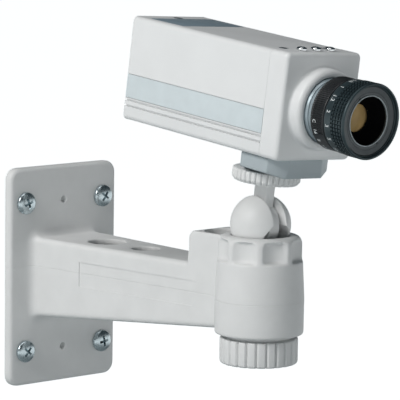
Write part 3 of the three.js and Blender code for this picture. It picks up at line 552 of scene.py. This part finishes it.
def flat_screw(name, place, size, body):
    head, shank, depth = size["head"], size["shank"], size["depth"]
    profile = [(0, -depth), (shank, -depth), (shank, -head * 0.55), (head, -0.25),
               (head, -0.05), (head - 0.1, 0), (0, 0)]
    screw = turned(name, profile, place, segments=48)
    cross = [block_of("arm", -a, a, -b, b, -1.1, 1, place)
             for a, b in ((head * 0.62, head * 0.14), (head * 0.14, head * 0.62))]
    finished(cut(screw, *cross), body)


def wall_screws():
    turns = dict(top_near=20, top_far=-35, bottom_near=50, bottom_far=10)
    for corner, turn in turns.items():
        side_y = -1 if corner.endswith("near") else 1
        side_z = 1 if corner.startswith("top") else -1
        place = shifted(WALL_AT, PLATE["thick"] + 0.3, side_y * WALL_SCREW["y"],
                        side_z * WALL_SCREW["z"]) @ Matrix.Rotation(pi / 2, 4, "Y")
        pan_screw(f"wall_screw_{corner}_piece", place, WALL_SCREW, "bracket", turn)


# ---- wall bracket


def arm_at(x, start, end):
    """A dimension of the tapering arm at a distance x from the wall."""
    return start + (end - start) * (x - ARM["root"]) / (ARM["end"] - ARM["root"])


def arm_half(x):
    return arm_at(x, ARM["root_half"], ARM["end_half"])


def arm_bottom(x):
    return arm_at(x, ARM["root_bottom"], ARM["end_bottom"])


def section_yz(x, y0, y1, z0, z1, radius):
    return [(x, y, z) for y, z in rectangle(y0, y1, z0, z1, radius)]


def plate():
    w, h, e = PLATE["width"] / 2, PLATE["height"] / 2, PLATE["edge"]
    stations = [(0, 0.3), (0.3, 0)]
    stations += [(PLATE["thick"] - e * (1 - sin(radians(a))), e * (1 - cos(radians(a))))
                 for a in (0, 18, 36, 54, 72, 90)]
    sections = [section_yz(x, -w + i, w - i, -h + i, h - i, PLATE["corner"] - i)
                for x, i in stations]
    return lofted("wall_bracket_piece", sections, WALL_AT)


def arm():
    f = ARM["fillet"]
    sections = []
    for a in (-1, 0, 15, 30, 45, 60, 75, 90):
        rise = max(a, 0)
        x = ARM["root"] + f * (1 - cos(radians(rise))) - (1 if a < 0 else 0)
        grow = f * (1 - sin(radians(rise)))
        sections.append(section_yz(x, -arm_half(x) - grow, arm_half(x) + grow,
                                   arm_bottom(x) - grow, ARM["top"] + grow, ARM["edge"] + grow))
    x = PIVOT.x / MM - 14
    sections.append(section_yz(x, -arm_half(x), arm_half(x), arm_bottom(x), ARM["top"],
                               ARM["edge"]))
    return lofted("arm", sections, WALL_AT)


def chambers():
    """The two cored chambers inside the arm, open at the wall."""
    wall = ARM["wall"]
    result = []
    for upper in (True, False):
        sections = []
        for x in (-1, CHAMBER_END):
            low = 2 if upper else arm_bottom(x) + wall
            high = ARM["top"] - wall if upper else -2
            sections.append(section_yz(x, -arm_half(x) + wall, arm_half(x) - wall, low, high, 2))
        result.append(lofted("chamber", sections, WALL_AT))
    return result


def raised_block():
    x0, top, draft, chamfer = (BLOCK[k] for k in ("x0", "top", "draft", "chamfer"))
    far_x = PIVOT.x / MM - 4
    points = []
    for side in (-1, 1):
        near, far = side * arm_half(x0), side * arm_half(far_x)
        points += [(x0, near, ARM["top"] - 6), (x0 + draft, near, top - chamfer),
                   (x0 + draft + chamfer * 0.7, near * 0.96, top), (far_x, far, top),
                   (far_x, far, ARM["top"] - 6)]
    return hull_of("block", points, WALL_AT)


def pocket():
    r, x, z, top = (BLOCK[k] for k in ("pocket_r", "pocket_x", "pocket_z", "top"))
    return [rod("pocket", r, z, top + 1, WALL_AT, centre=(x, 0, 0)),
            block_of("pocket", x, PIVOT.x / MM, -r + 0.05, r - 0.05, z, top + 1, WALL_AT)]


def barrel():
    b = BARREL
    outline = rounded([(0, b["foot"]), (b["foot_r"], b["foot"], 1.2), (b["mid_r"], b["mid"]),
                       (b["rim_r"], b["rim"], 1.0), (0, b["rim"])])
    return turned("barrel", outline, BARREL_AT, segments=144)


def scallop(r, h, angle):
    """The collar's radius where a round-bottomed flute cuts into it, at an angle round it."""
    c = COLLAR
    pitch = 2 * pi / c["flutes"]
    phi = (angle - radians(c["turn"]) + pitch / 2) % pitch - pitch / 2
    centre = c["floor"] + c["flute_r"]
    inner = centre * cos(phi) - sqrt(max(c["flute_r"] ** 2 - (centre * sin(phi)) ** 2, 0))
    half = c["flute_half"]
    if h > c["flute_top"] - 3:
        climb = min((h - c["flute_top"] + 3) / 3, 1)
        half -= 3 * (1 - sqrt(1 - climb * climb))
    if h > c["flute_top"] or abs(inner * sin(phi)) > half or r < inner:
        return r
    return inner


def collar():
    c = COLLAR
    reach, climb = c["r"] - c["top_r"], c["top"] - c["shoulder"]
    outline = [(0, ARM["top"]), (c["r"], ARM["top"])]
    outline += [(c["r"], ARM["top"] + (c["shoulder"] - ARM["top"]) * k / 16) for k in range(1, 17)]
    outline += [(c["top_r"] + reach * cos(radians(a)), c["shoulder"] + climb * sin(radians(a)))
                for a in range(6, 91, 6)] + [(0, c["top"])]
    return turned("collar", outline, BARREL_AT, segments=288, shape=scallop)


def barrel_bore():
    seat_r = FORK["plug_r"] + 0.4
    waist = sqrt(FORK["ball"] ** 2 - FORK["waist"] ** 2) + 0.4
    pivot_z = PIVOT.z / MM
    outline = [(0, -20), (KNOB["hub_r"] + 0.6, -20), (KNOB["hub_r"] + 0.6, -8),
               (BARREL["bore"], -8), (BARREL["bore"], pivot_z + FORK["plug_z"] - 0.3),
               (seat_r, pivot_z + FORK["plug_z"] - 0.3), (waist, pivot_z + FORK["waist"]),
               (waist + 0.5, COLLAR["top"] + 1), (0, COLLAR["top"] + 1)]
    return turned("bore", outline, BARREL_AT, segments=96)


def label_panel():
    x0, x1, z0, z1, depth = (PANEL[k] for k in ("x0", "x1", "z0", "z1", "depth"))
    points = [(x, -arm_half(x) + depth - out, z)
              for out in (0, 3) for x in (x0, x1) for z in (z0, z1)]
    return hull_of("panel", points, WALL_AT)


def bracket_body():
    body = joined(plate(), arm(), barrel(), raised_block())
    holes = [rod("hole", WALL_SCREW["hole"], -1, 10, WALL_AT, "x",
                 (0, y * WALL_SCREW["y"], z * WALL_SCREW["z"])) for y in (-1, 1) for z in (-1, 1)]
    pilots = [rod("pilot", PILOT["r"], -1, 10, WALL_AT, "x", (0, 0, s * PILOT["z"]))
              for s in (-1, 1)]
    ports = [rod("port", r, 12, 30, WALL_AT, centre=(x, 0, 0)) for x, r in PORTS]
    cut(body, *chambers(), *holes, *pilots, *ports, *pocket())
    joined(body, collar())
    cut(body, barrel_bore())
    moulded(body, voxel=0.75, softening=4)
    cut(body, label_panel())
    finished(body, "bracket", angle=40)


# ---- fork, pin and knob


def fork_body():
    f = FORK
    low = degrees(asin(f["waist"] / f["ball"]))
    ball = [(f["ball"] * cos(radians(low + (90 - low) * k / 32)),
             f["ball"] * sin(radians(low + (90 - low) * k / 32))) for k in range(32)]
    outline = [(0, f["plug_z"]), (f["plug_r"], f["plug_z"])] + ball + [(0, f["ball"])]
    body = turned("swivel_fork_piece", outline, FORK_AT, segments=128)
    tools = [block_of("slot", -30, 30, -f["slot"], f["slot"], f["slot_floor"], 30, FORK_AT),
             rod("notch", f["notch_r"], f["notch_x"], 20, FORK_AT, "x", (0, 0, f["notch_z"])),
             rod("notch", f["notch_r"], -20, -f["notch_x"], FORK_AT, "x", (0, 0, f["notch_z"])),
             turned("bolt", [(0, -30), (3.3, -30), (3.3, -17.5), (4.5, -17.5), (4.5, -1), (0, -1)],
                    FORK_AT),
             turned("pin", [(0, -11), (2.6, -11), (2.6, 12.4), (4.2, 12.4), (4.2, 20), (0, 20)],
                    FORK_AT, "y")]
    moulded(cut(body, *tools), voxel=0.36, softening=4)
    finished(body, "fork", angle=50, material=PLAIN_PLASTIC)


def tilt_pin():
    y, r, head = PIN["head_y"], PIN["r"], PIN["head_r"]
    outline = rounded([(0, -10.6), (r, -10.6, 0.4), (r, y), (head, y, 0.2),
                       (head, y + PIN["head_h"], 0.7), (0, y + PIN["head_h"])])
    pin = turned("tilt_pin_piece", outline, FORK_AT, "y", 48)
    cut(pin, block_of("slot", -5, 5, y + 1.3, y + 5, -0.5, 0.5, FORK_AT))
    finished(pin, "fork")


def grooved(depth, count, softness, from_r):
    """A shape for turned(): `count` soft grooves where the radius is at least from_r."""
    def shape(r, h, angle):
        if r < from_r:
            return r
        away = abs((angle * count / (2 * pi)) % 1 - 0.5) * 2
        return r - depth * max(0, (away - 1 + softness) / softness) ** 1.5
    return shape


def knob_body():
    k = KNOB
    outline = rounded([
        (k["nut_r"], k["bottom"] + 1.4), (k["nut_r"] + 2.3, k["bottom"] + 1.4, 0.5),
        (k["nut_r"] + 2.3, k["bottom"] + k["recess"], 0.5),
        (k["recess_r"], k["bottom"] + k["recess"], 0.8), (k["recess_r"] + 1.2, k["bottom"], 0.7),
        (k["r"], k["bottom"], 1.8), (k["r"], k["top"], 0.9), (k["hub_r"], k["top"], 0.3),
        (k["hub_r"], k["hub"], 0.4), (k["bore"], k["hub"]), (k["bore"], -15.7),
        (k["nut_r"], -15.7)])
    shape = grooved(1.5, k["grooves"], 0.42, k["r"] - 2)
    body = turned("lock_knob_piece", outline, KNOB_AT, segments=k["grooves"] * 20, shape=shape)
    finished(body, "knob", angle=40, material=PLAIN_PLASTIC)


# ---- stem, ring and block


def stem_body():
    t = TONGUE
    disc = turned("tilt_stem_piece", rounded([(0, -t["half"]), (t["r"], -t["half"], 0.6),
                                              (t["r"], t["half"], 0.6), (0, t["half"])]),
                  HEAD_AT, "y", 128)
    outline = rectangle(-NECK["half"], NECK["half"], -t["half"], t["half"], NECK["edge"])
    neck = lofted("neck", [[(x, y, z) for x, y in outline] for z in (0, NECK["top"])], HEAD_AT)
    body = joined(disc, neck)
    cut(body, rod("pin", t["hole"], -10, 10, HEAD_AT, "y"), rod("stud", 3.3, 13.7, 40, HEAD_AT))
    moulded(body, voxel=0.3, softening=3)
    finished(body, "stem", angle=50, material=PLAIN_PLASTIC)


def lock_ring():
    g = RING
    outline = rounded([(g["bore"], g["z0"]), (g["foot_r"], g["z0"], 0.6),
                       (g["r"], g["z0"] + g["chamfer"], 0.8), (g["r"], g["z1"], 0.9),
                       (g["bore"], g["z1"])])
    shape = grooved(1.15, g["ribs"], 0.55, g["foot_r"] - 1)
    ring = turned("lock_ring_piece", outline, HEAD_AT, segments=g["ribs"] * 16, shape=shape)
    finished(ring, "ring", angle=45, material=PLAIN_PLASTIC)


def mount_block():
    m = MOUNT
    rim = [(x, s * y, -0.3) for s in (-1, 1) for x, y in
           ((m["x0"], m["half"]), (m["x1"], m["half"]), (m["front_x"], m["front_half"]),
            (m["rear_x"], m["rear_half"]))]
    side = [(x, s * m["half"], m["side_z"]) for s in (-1, 1) for x in (m["x0"], m["x1"])]
    ends = [(x, s * y, m["front_z"]) for s in (-1, 1) for x, y in
            ((m["front_x"], m["front_half"]), (m["rear_x"], m["rear_half"]))]
    foot = [(x, s * y, m["bottom_z"]) for s in (-1, 1) for x, y in m["foot"]]
    block = bevelled(hull_of("mount_block_piece", rim + side + ends + foot, CAMERA_AT), 0.8)
    tools = [rod("insert", 5.3, -20, -1.6, CAMERA_AT, centre=(STUD_X, 0, 0))]
    n = MOUNT_SCREW
    for s in (-1, 1):
        tools.append(rod("screw", n["head"] + 0.5, -20, m["bottom_z"] + n["sunk"], CAMERA_AT,
                         centre=(n["x"], n["y"] * s, 0)))
    finished(cut(block, *tools), "camera")
    for s, side_name in ((-1, "near"), (1, "far")):
        place = shifted(CAMERA_AT, n["x"], n["y"] * s, m["bottom_z"] + n["sunk"] - 0.3)
        pan_screw(f"block_screw_{side_name}_piece", place @ Matrix.Rotation(pi, 4, "X"), n,
                  "camera", 25 * s)


# ---- housing


def body_outline(inset=0.0, grooved_sides=False):
    """Section of the housing; with its side recesses and lines where they are asked for."""
    w, h, r = BODY["width"] / 2 - inset, BODY["height"] - inset, max(BODY["corner"] - inset, 0.8)
    right = [(w, inset, r)]
    if grooved_sides:
        for z in GROOVES[::-1]:
            right += [(w, z - 0.45, 0.1), (w - 1.3, z - 0.35), (w - 1.3, z + 0.35),
                      (w, z + 0.45, 0.1)]
        sink = w - INLAY["sink"]
        right += [(w, STRIPE[0], 0.1), (sink, STRIPE[0]), (sink, STRIPE[1]), (w, STRIPE[1], 0.1)]
    right += [(w, h, r)]
    left = [(-p[0], *p[1:]) for p in right[::-1]]
    return rounded(right + left)


def housing():
    x0, x1 = -BODY["length"], -BEZEL["depth"] - 0.3
    shell = drawn("housing_shell_piece", body_outline(0, True), x0, x1 + 0.15, CAMERA_AT,
                  edge=0.12)
    top, label = BODY["height"], TOP_LABEL
    tools = [drawn("inside", body_outline(BODY["wall"]), x0 - 1, x1 + 1, CAMERA_AT),
             block_of("label", label["x0"] - 0.3, label["x1"] + 0.3, -label["half"] - 0.3,
                      label["half"] + 0.3, top - INLAY["sink"], top + 1, CAMERA_AT)]
    for x, y in COVER_SCREWS.values():
        sink = [(0, -5), (1.45, -5), (1.45, -1.6), (2.9, -0.2), (2.9, 1), (0, 1)]
        tools.append(turned("sink", sink, shifted(CAMERA_AT, x, y, top), segments=32))
    for s in (-1, 1):
        tools.append(rod("hole", MOUNT_SCREW["shank"] + 0.3, -1, 5, CAMERA_AT,
                         centre=(MOUNT_SCREW["x"], MOUNT_SCREW["y"] * s, 0)))
    finished(cut(shell, *tools), "camera", angle=25)
    for name, (x, y) in COVER_SCREWS.items():
        flat_screw(f"{name}_piece", shifted(CAMERA_AT, x, y, top), COVER_SCREW, "camera")


def stripes_and_label():
    sunk = BODY["width"] / 2 - INLAY["sink"] + INLAY["gap"]
    for side, name in ((-1, "stripe_near"), (1, "stripe_far")):
        y0, y1 = sorted((side * sunk, side * (sunk + 0.4)))
        stripe = block_of(f"{name}_piece", -BODY["length"], -BEZEL["depth"] - 0.3, y0, y1,
                          STRIPE[0] + 0.15, STRIPE[1] - 0.15, CAMERA_AT, edge=0.12)
        finished(stripe, "camera")
    top = BODY["height"]
    label = block_of("top_label_piece", TOP_LABEL["x0"], TOP_LABEL["x1"], -TOP_LABEL["half"],
                     TOP_LABEL["half"], top - 0.4, top, CAMERA_AT, edge=0.12)
    finished(label, "camera")


def bezel():
    e = 2.4
    stations = [(-BEZEL["depth"] - 0.1, 0.1), (-BEZEL["depth"], 0)]
    stations += [(-e + e * sin(radians(a)), e * (1 - cos(radians(a)))) for a in range(0, 91, 15)]
    outline = body_outline()
    shell = lofted("front_bezel_piece", [[(x, y, z) for y, z in inset_outline(outline, i)]
                                         for x, i in stations], CAMERA_AT)
    hollow = drawn("inside", body_outline(BODY["wall"]), -BEZEL["depth"] - 1, -BEZEL["front"],
                   CAMERA_AT)
    n = BEZEL_SCREW
    holes = [rod("hole", n["hole"], BODY["height"] - 5, BODY["height"] + 1, CAMERA_AT,
                 centre=(n["x"], n["pitch"] * k, 0)) for k in (-1, 0, 1)]
    cut(shell, hollow, rod("mouth", BOSS["bore"], -10, 5, LENS_AT, "x"), *holes)
    finished(shell, "camera", angle=25)
    for k, side in ((-1, "near"), (0, "middle"), (1, "far")):
        place = shifted(CAMERA_AT, n["x"], n["pitch"] * k, BODY["height"] + 0.3)
        pan_screw(f"bezel_screw_{side}_piece", place, n, "camera", 40 + 35 * k)


def bezel_boss():
    """The round boss in front of the bezel, flaring into its face."""
    b = BOSS
    f = b["flare"]
    flare = [(b["r"] + f * (1 - sin(radians(a))), f * (1 - cos(radians(a))) + 0.02)
             for a in range(0, 91, 15)]
    rim = [(b["r"] - b["edge"] * (1 - cos(radians(a))), b["length"] - b["edge"] *
            (1 - sin(radians(a)))) for a in range(0, 91, 10)]
    outline = [(b["bore"], -2.4), (b["r"] + f, -0.6)] + flare + rim
    outline += [(b["bore"] + 0.5, b["length"]), (b["bore"], b["length"] - 0.5)]
    boss = turned("front_boss_piece", outline, LENS_AT, "x", 144)
    finished(boss, "camera", "housing_paint", angle=30)


# ---- rear of the housing


def rear_panel():
    x0 = REAR_X
    panel = drawn("rear_panel_piece", body_outline(BODY["wall"] + 0.3), x0, x0 + 2.2, CAMERA_AT,
                  edge=0.3)
    margin = SOCKET_MARGIN
    mouths = [block_of("mouth", x0 - 1, x0 + 5, n["y0"] - margin, n["y1"] + margin,
                       n["z0"] - margin, n["z1"] + margin, CAMERA_AT)
              for n in (POWER, IRIS_SOCKET)]
    bores = [(4.9, VIDEO), (1.8, LAMP)] + [(REAR_SCREW["hole"], at) for at in REAR_SCREWS.values()]
    video, *others = [rod("bore", r, x0 - 1, x0 + 5, CAMERA_AT, "x", (0, *at)) for r, at in bores]
    finished(cut(panel, video, *mouths, *others), "camera", angle=25)
    for i, (name, (y, z)) in enumerate(REAR_SCREWS.items()):
        place = shifted(CAMERA_AT, x0 - 0.3, y, z) @ Matrix.Rotation(-pi / 2, 4, "Y")
        pan_screw(f"{name}_piece", place, REAR_SCREW, "camera", 25 * i)


def video_socket():
    place = shifted(CAMERA_AT, REAR_X - 0.5, *VIDEO) @ Matrix.Rotation(pi, 4, "Z")
    outline = rounded([(0, -7), (6.6, -7, 0.4), (6.6, -4.6, 0.4), (4.7, -4.6), (4.7, 1.2),
                       (4.4, 1.5), (4.7, 1.8), (4.7, 8, 0.4), (4.3, 8.4), (3.4, 8.4, 0.3),
                       (3.4, 0), (0.9, 0), (0.9, 5, 0.4), (0, 5)])
    socket = turned("video_socket_piece", outline, place, "x", 64)
    lugs = [rod("lug", 0.9, 3.6, 5.6, place @ Matrix.Rotation(t, 4, "X"), "z", (5.6, 0, 0), 24)
            for t in (0, pi)]
    finished(joined(socket, *lugs), "camera")


def power_terminal():
    n = POWER
    x1 = REAR_X + n["front"]
    x0 = x1 - n["length"]
    body = block_of("power_terminal_piece", x0, x1, n["y0"], n["y1"], n["z0"], n["z1"], CAMERA_AT,
                    edge=0.35)
    tools = []
    for y in n["poles"]:
        tools += [block_of("mouth", x0 - 1, x0 + 6, y - 2.1, y + 2.1, 36.9, 40.9, CAMERA_AT),
                  rod("hole", 1.5, 42.6, 46, CAMERA_AT, "z", (x1 - 7.5, y, 0), 24)]
    tools.append(block_of("groove", x0 - 1, x0 + 0.4, -12.15, -11.85, 35, 45, CAMERA_AT))
    finished(cut(body, *tools), "camera")


def iris_socket():
    n = IRIS_SOCKET
    x1 = REAR_X + n["front"]
    body = block_of("iris_socket_piece", x1 - n["length"], x1, n["y0"], n["y1"], n["z0"], n["z1"],
                    CAMERA_AT, edge=0.4)
    pins = [rod("pin", 0.9, x1 - 6, x1 - 2, CAMERA_AT, "x", (0, y, z), 20)
            for y in (9.6, 14.4) for z in (16.1, 19.9)]
    finished(cut(body, *pins), "camera")


def status_lamp():
    outline = [(0, 3), (1.5, 3), (1.5, -0.4)]
    outline += [(1.5 * cos(radians(a)), -0.4 - 0.8 * sin(radians(a))) for a in range(15, 90, 15)]
    outline.append((0, -1.2))
    lamp = turned("status_lamp_piece", outline, shifted(CAMERA_AT, REAR_X, *LAMP), "x", 32)
    finished(lamp, "camera")


# ---- lens


def lens_ring(name, outline, segments=128, shape=None):
    return turned(name, outline, LENS_AT, "x", segments, shape)


def lens_mount():
    outline = rounded([(12.8, -1.4), (15.2, -1.4), (15.2, 1), (18, 1, 0.2), (18, 7.6, 0.5),
                       (17.2, 9.4, 0.4), (12.8, 9.4)])
    finished(lens_ring("mount_ring_piece", outline), "camera")


def lens_barrel():
    outline = rounded([(10.4, 2), (12.4, 2), (12.4, 9.7), (17.2, 9.7, 0.3), (17.2, 14.2, 0.3),
                       (16.7, 14.2), (16.7, 24.9), (13.9, 24.9), (13.9, 27), (10.4, 27)])
    finished(lens_ring("lens_body_piece", outline), "camera")


def iris_ring():
    """Fine axial knurl over the upper sector, plain below where the scale is."""
    x0, x1, r = LENS["iris0"], LENS["iris1"], LENS["iris_r"]
    k = IRIS_KNURL
    outline = [(17, x0), (r - 0.8, x0), (r - 0.3, x0 + 0.4)]
    outline += [(r, x0 + (x1 - x0) * i / 24) for i in range(1, 24)]
    outline += [(r - 0.3, x1 - 0.1), (r - 0.5, x1), (17, x1)]

    def knurl(radius, x, angle):
        inside = cos(angle - k["middle"]) >= cos(k["sector"])
        if radius < r - 0.1 or not x0 + 1.2 < x < x1 - 0.9 or not inside:
            return radius
        wave = 0.5 + 0.5 * cos(angle * k["count"])
        return radius - k["depth"] * wave ** 0.7
    ring = lens_ring("iris_ring_piece", outline, k["count"] * 8, knurl)
    finished(ring, "iris", angle=60)


def focus_ring():
    """Plain band for the scale, rows of square grips, then a smooth rim."""
    x0, x1, r = LENS["focus0"], LENS["focus1"], LENS["focus_r"]
    f = FOCUS_RIB
    inner = LENS["cell_r"] + 0.3
    pitch = (f["x1"] - f["x0"]) / f["rows"]
    stations = [x0 + 0.6, x0 + 3, f["x0"] - 0.05]
    stations += [f["x0"] + pitch * k / 8 for k in range(8 * f["rows"] + 1)]
    outline = [(inner, x0), (r - 0.9, x0), (r - 0.5, x0 + 0.25)]
    outline += [(r - 0.35, x) for x in stations]
    outline += [(r - 0.2, f["x1"] + 0.2), (r, x1 - 1.4), (r, x1 - 0.7), (r - 0.25, x1 - 0.2),
                (r - 0.7, x1), (r - 1.2, x1), (r - 1.5, x1 - 0.5), (r - 1.5, x1 - 1.6),
                (inner, x1 - 1.8)]

    def grip(radius, x, angle):
        if not f["x0"] - 0.01 <= x <= f["x1"] + 0.01 or radius < r - 0.5:
            return radius
        across = abs((angle * f["count"] / (2 * pi)) % 1 - 0.5) * 2
        along = abs(((x - f["x0"]) / pitch) % 1 - 0.5) * 2
        tile = min(max((0.8 - across) * 5, 0), 1) * min(max((0.75 - along) * 5, 0), 1)
        return radius - f["depth"] + tile * (f["depth"] + 0.3)
    ring = lens_ring("focus_ring_piece", outline, f["count"] * 10, grip)
    finished(ring, "focus", angle=60)


def front_cell():
    """Black funnel in front of the glass, with fine steps that kill stray light."""
    seat_r, seat_x = LENS["glass_r"] + 0.5, LENS["glass"] + 1.6
    mouth_r, mouth_x = LENS["bore"] - 0.8, 35.6
    steps = 12
    funnel = []
    for k in range(steps):
        for part in (0, 0.8):
            t = (k + part) / steps
            r = mouth_r + (seat_r - mouth_r) * (k + 1 if part else k) / steps
            funnel.append((r, mouth_x + (seat_x - mouth_x) * t))
    outline = [(14.2, 25.4), (LENS["cell_r"], 25.4), (LENS["cell_r"], 37.2), (LENS["bore"], 37.2)]
    outline += funnel + [(seat_r - 0.8, seat_x - 0.4), (seat_r - 0.8, seat_x - 0.7),
                         (9.5, seat_x - 0.7), (9.5, 27.3), (14.2, 27.3)]
    finished(lens_ring("front_cell_piece", outline), "focus", angle=25, material=FLAT_BLACK)
    r = LENS["bore"]
    # Thin ring on the mouth's rim whose lighter grey is a polished edge with a painted highlight
    # in it.
    edge = lens_ring("mouth_edge_piece", rounded([
        (r - 0.05, 38.5), (r + 0.55, 38.5), (r + 0.55, 38.95, 0.2), (r - 0.05, 38.95, 0.2)]))
    finished(edge, "focus", "name_ring_grey", material=POLISHED_RIM_AND_HIGHLIGHT)


def name_ring():
    """Grey ring round the mouth, with a fine groove and two spanner notches."""
    r0, r1 = LENS["bore"], LENS["cell_r"]
    outline = rounded([(r0, 37.5), (r1, 37.5), (r1, 39), (r1 - 0.5, 39, 0.2),
                       (r0 + 2.4, 38.6), (r0 + 2.3, 38.45), (r0 + 2.1, 38.45), (r0 + 2.0, 38.6),
                       (r0, 38.4)])
    ring = lens_ring("name_ring_piece", outline)
    notches = [block_of("notch", 38.1, 40, -0.7, 0.7, s * (r0 + 1.1) - 0.6, s * (r0 + 1.1) + 0.6,
                        LENS_AT @ Matrix.Rotation(radians(35), 4, "X")) for s in (-1, 1)]
    finished(cut(ring, *notches), "focus", angle=25)


def front_glass():
    rim, back, crown = 9.2, 27.4, 1.1
    dome = [(rim * (1 - k / 24), LENS["glass"] - 0.4 + crown * (1 - (1 - k / 24) ** 2))
            for k in range(25)]
    outline = [(0, back), (rim, back)] + dome
    finished(lens_ring("front_glass_piece", outline, 96), "focus", angle=50)


def ring_text(name, words, radius, x, height, body, start, step):
    """Short numbers painted round a ring: each word is a flat outline wrapped on the ring."""
    verts, faces = [], []
    for i, word in enumerate(words):
        curve = bpy.data.curves.new("word", "FONT")
        curve.body = word
        curve.size = height
        curve.align_x = "CENTER"
        curve.resolution_u = 3
        source = linked("word", curve)
        bpy.context.evaluated_depsgraph_get().update()
        flat = bpy.data.meshes.new_from_object(source)
        base = len(verts)
        for vertex in flat.vertices:
            angle = radians(start + step * i) + vertex.co.x / radius
            verts.append(to_axis("x", radius, x + vertex.co.y, angle))
        faces += [[base + k for k in polygon.vertices] for polygon in flat.polygons]
        bpy.data.objects.remove(source, do_unlink=True)
        bpy.data.meshes.remove(flat)
        bpy.data.curves.remove(curve)
    text = new_object(name, verts, faces, LENS_AT)
    slot = {"iris": "lens_black", "focus": "lens_grip"}[body]
    finished(text, body, slot, material=INK)


def lens_scales():
    ring_text("iris_scale", ["C", "16", "8", "5.6", "4", "2.8", "2"],
              LENS["iris_r"] + 0.03, LENS["iris0"] + 2.2, 3.2, "iris", 190, 17)
    ring_text("focus_scale", ["0.3", "0.5", "0.8", "1", "1.2", "2", "3", "5", "10"],
              LENS["focus_r"] - 0.32, LENS["focus0"] + 1.6, 3.6, "focus", 60, 22)


# ---- studio

VIEW = dict(azimuth=47.73, elevation=7.53, roll=0.744, distance=1.83758,
            aim=(0.05294, 0.0668, 0.0435), focal=276.27, sensor=36.0)
LIGHT_AIM = (0.13, 0, 0.05)
LIGHTS = (dict(name="key", place=(0.1, -2.05, 1.55), size=0.9, power=39,
               colour=(1.0, 0.985, 0.97)),
          dict(name="top", place=(0.3, -0.2, 2.2), size=1.4, power=9, colour=(1, 1, 1)))
# the floor's rings, radius and height in metres: flat, then sweeping up at its far rim
FLOOR_RINGS = ((14.0, -0.5), (25.0, -0.1), (34.0, 0.9), (40.0, 2.6))
FLOOR_FADE = (1.0, 2.1)               # where the floor starts and stops brightening, metres


def view_camera():
    azimuth, elevation, roll = (radians(VIEW[k]) for k in ("azimuth", "elevation", "roll"))
    back = Vector((sin(azimuth) * cos(elevation), -cos(azimuth) * cos(elevation),
                   sin(elevation)))
    level = Vector((cos(azimuth), sin(azimuth), 0))
    upright = back.cross(level)
    right = level * cos(roll) + upright * sin(roll)
    data = bpy.data.cameras.new("view_camera")
    data.lens = VIEW["focal"]
    data.sensor_width = VIEW["sensor"]
    data.clip_end = 200
    camera = linked("view_camera", data)
    turn = Matrix((right, back.cross(right), back)).transposed().to_4x4()
    aim = Vector(VIEW["aim"])
    camera.matrix_world = Matrix.Translation(aim + back * VIEW["distance"]) @ turn
    bpy.context.scene.camera = camera


def soft_light(name, place, size, power, colour):
    data = bpy.data.lights.new(name, "AREA")
    data.shape = "DISK"
    data.size = size
    data.energy = power
    data.color = colour
    light = linked(name, data)
    light.location = place
    light.rotation_euler = (Vector(LIGHT_AIM) - Vector(place)).to_track_quat("-Z", "Y").to_euler()


def studio():
    world = bpy.data.worlds.new("studio")
    bpy.context.scene.world = world
    world.use_nodes = True
    sky = world.node_tree.nodes["Background"]
    sky.inputs["Color"].default_value = (0.62, 0.86, 1.0, 1)
    sky.inputs["Strength"].default_value = 0.05
    for light in LIGHTS:
        soft_light(**light)
    rings = [[(r * cos(radians(a)), r * sin(radians(a)), z) for a in range(0, 360, 6)]
             for r, z in FLOOR_RINGS]
    floor = lofted("floor", rings, Matrix.Identity(4), closed=False)
    floor.data.materials.append(floor_material())
    bpy.context.scene.view_settings.view_transform = "Standard"


def floor_material():
    """Pale floor that brightens to white well away from the object, as a lit sweep does."""
    surface = Surface("pale_floor", (0.45, 0.50, 0.515), 0.9)
    flat = surface.nodes.new("ShaderNodeVectorMath")
    flat.operation = "LENGTH"
    surface.links.new(surface.coords, flat.inputs[0])
    far = surface.nodes.new("ShaderNodeMapRange")
    far.interpolation_type = "SMOOTHSTEP"
    far.inputs["From Min"].default_value, far.inputs["From Max"].default_value = FLOOR_FADE
    far.inputs["To Max"].default_value = 0.98
    surface.links.new(flat.outputs["Value"], far.inputs["Value"])
    surface.links.new(far.outputs["Result"], surface.shader.inputs["Emission Strength"])
    surface.shader.inputs["Emission Color"].default_value = (0.985, 1, 1, 1)
    return surface.material


# ---- assembly

view_camera()
studio()
dress_cad_nodes()
for build in (bracket_body, wall_screws, fork_body, tilt_pin, knob_body, stem_body, lock_ring,
              mount_block, housing, stripes_and_label, bezel, bezel_boss, rear_panel,
              video_socket, power_terminal, iris_socket, status_lamp, lens_mount, lens_barrel,
              iris_ring, focus_ring, front_cell, name_ring, front_glass, lens_scales):
    build()
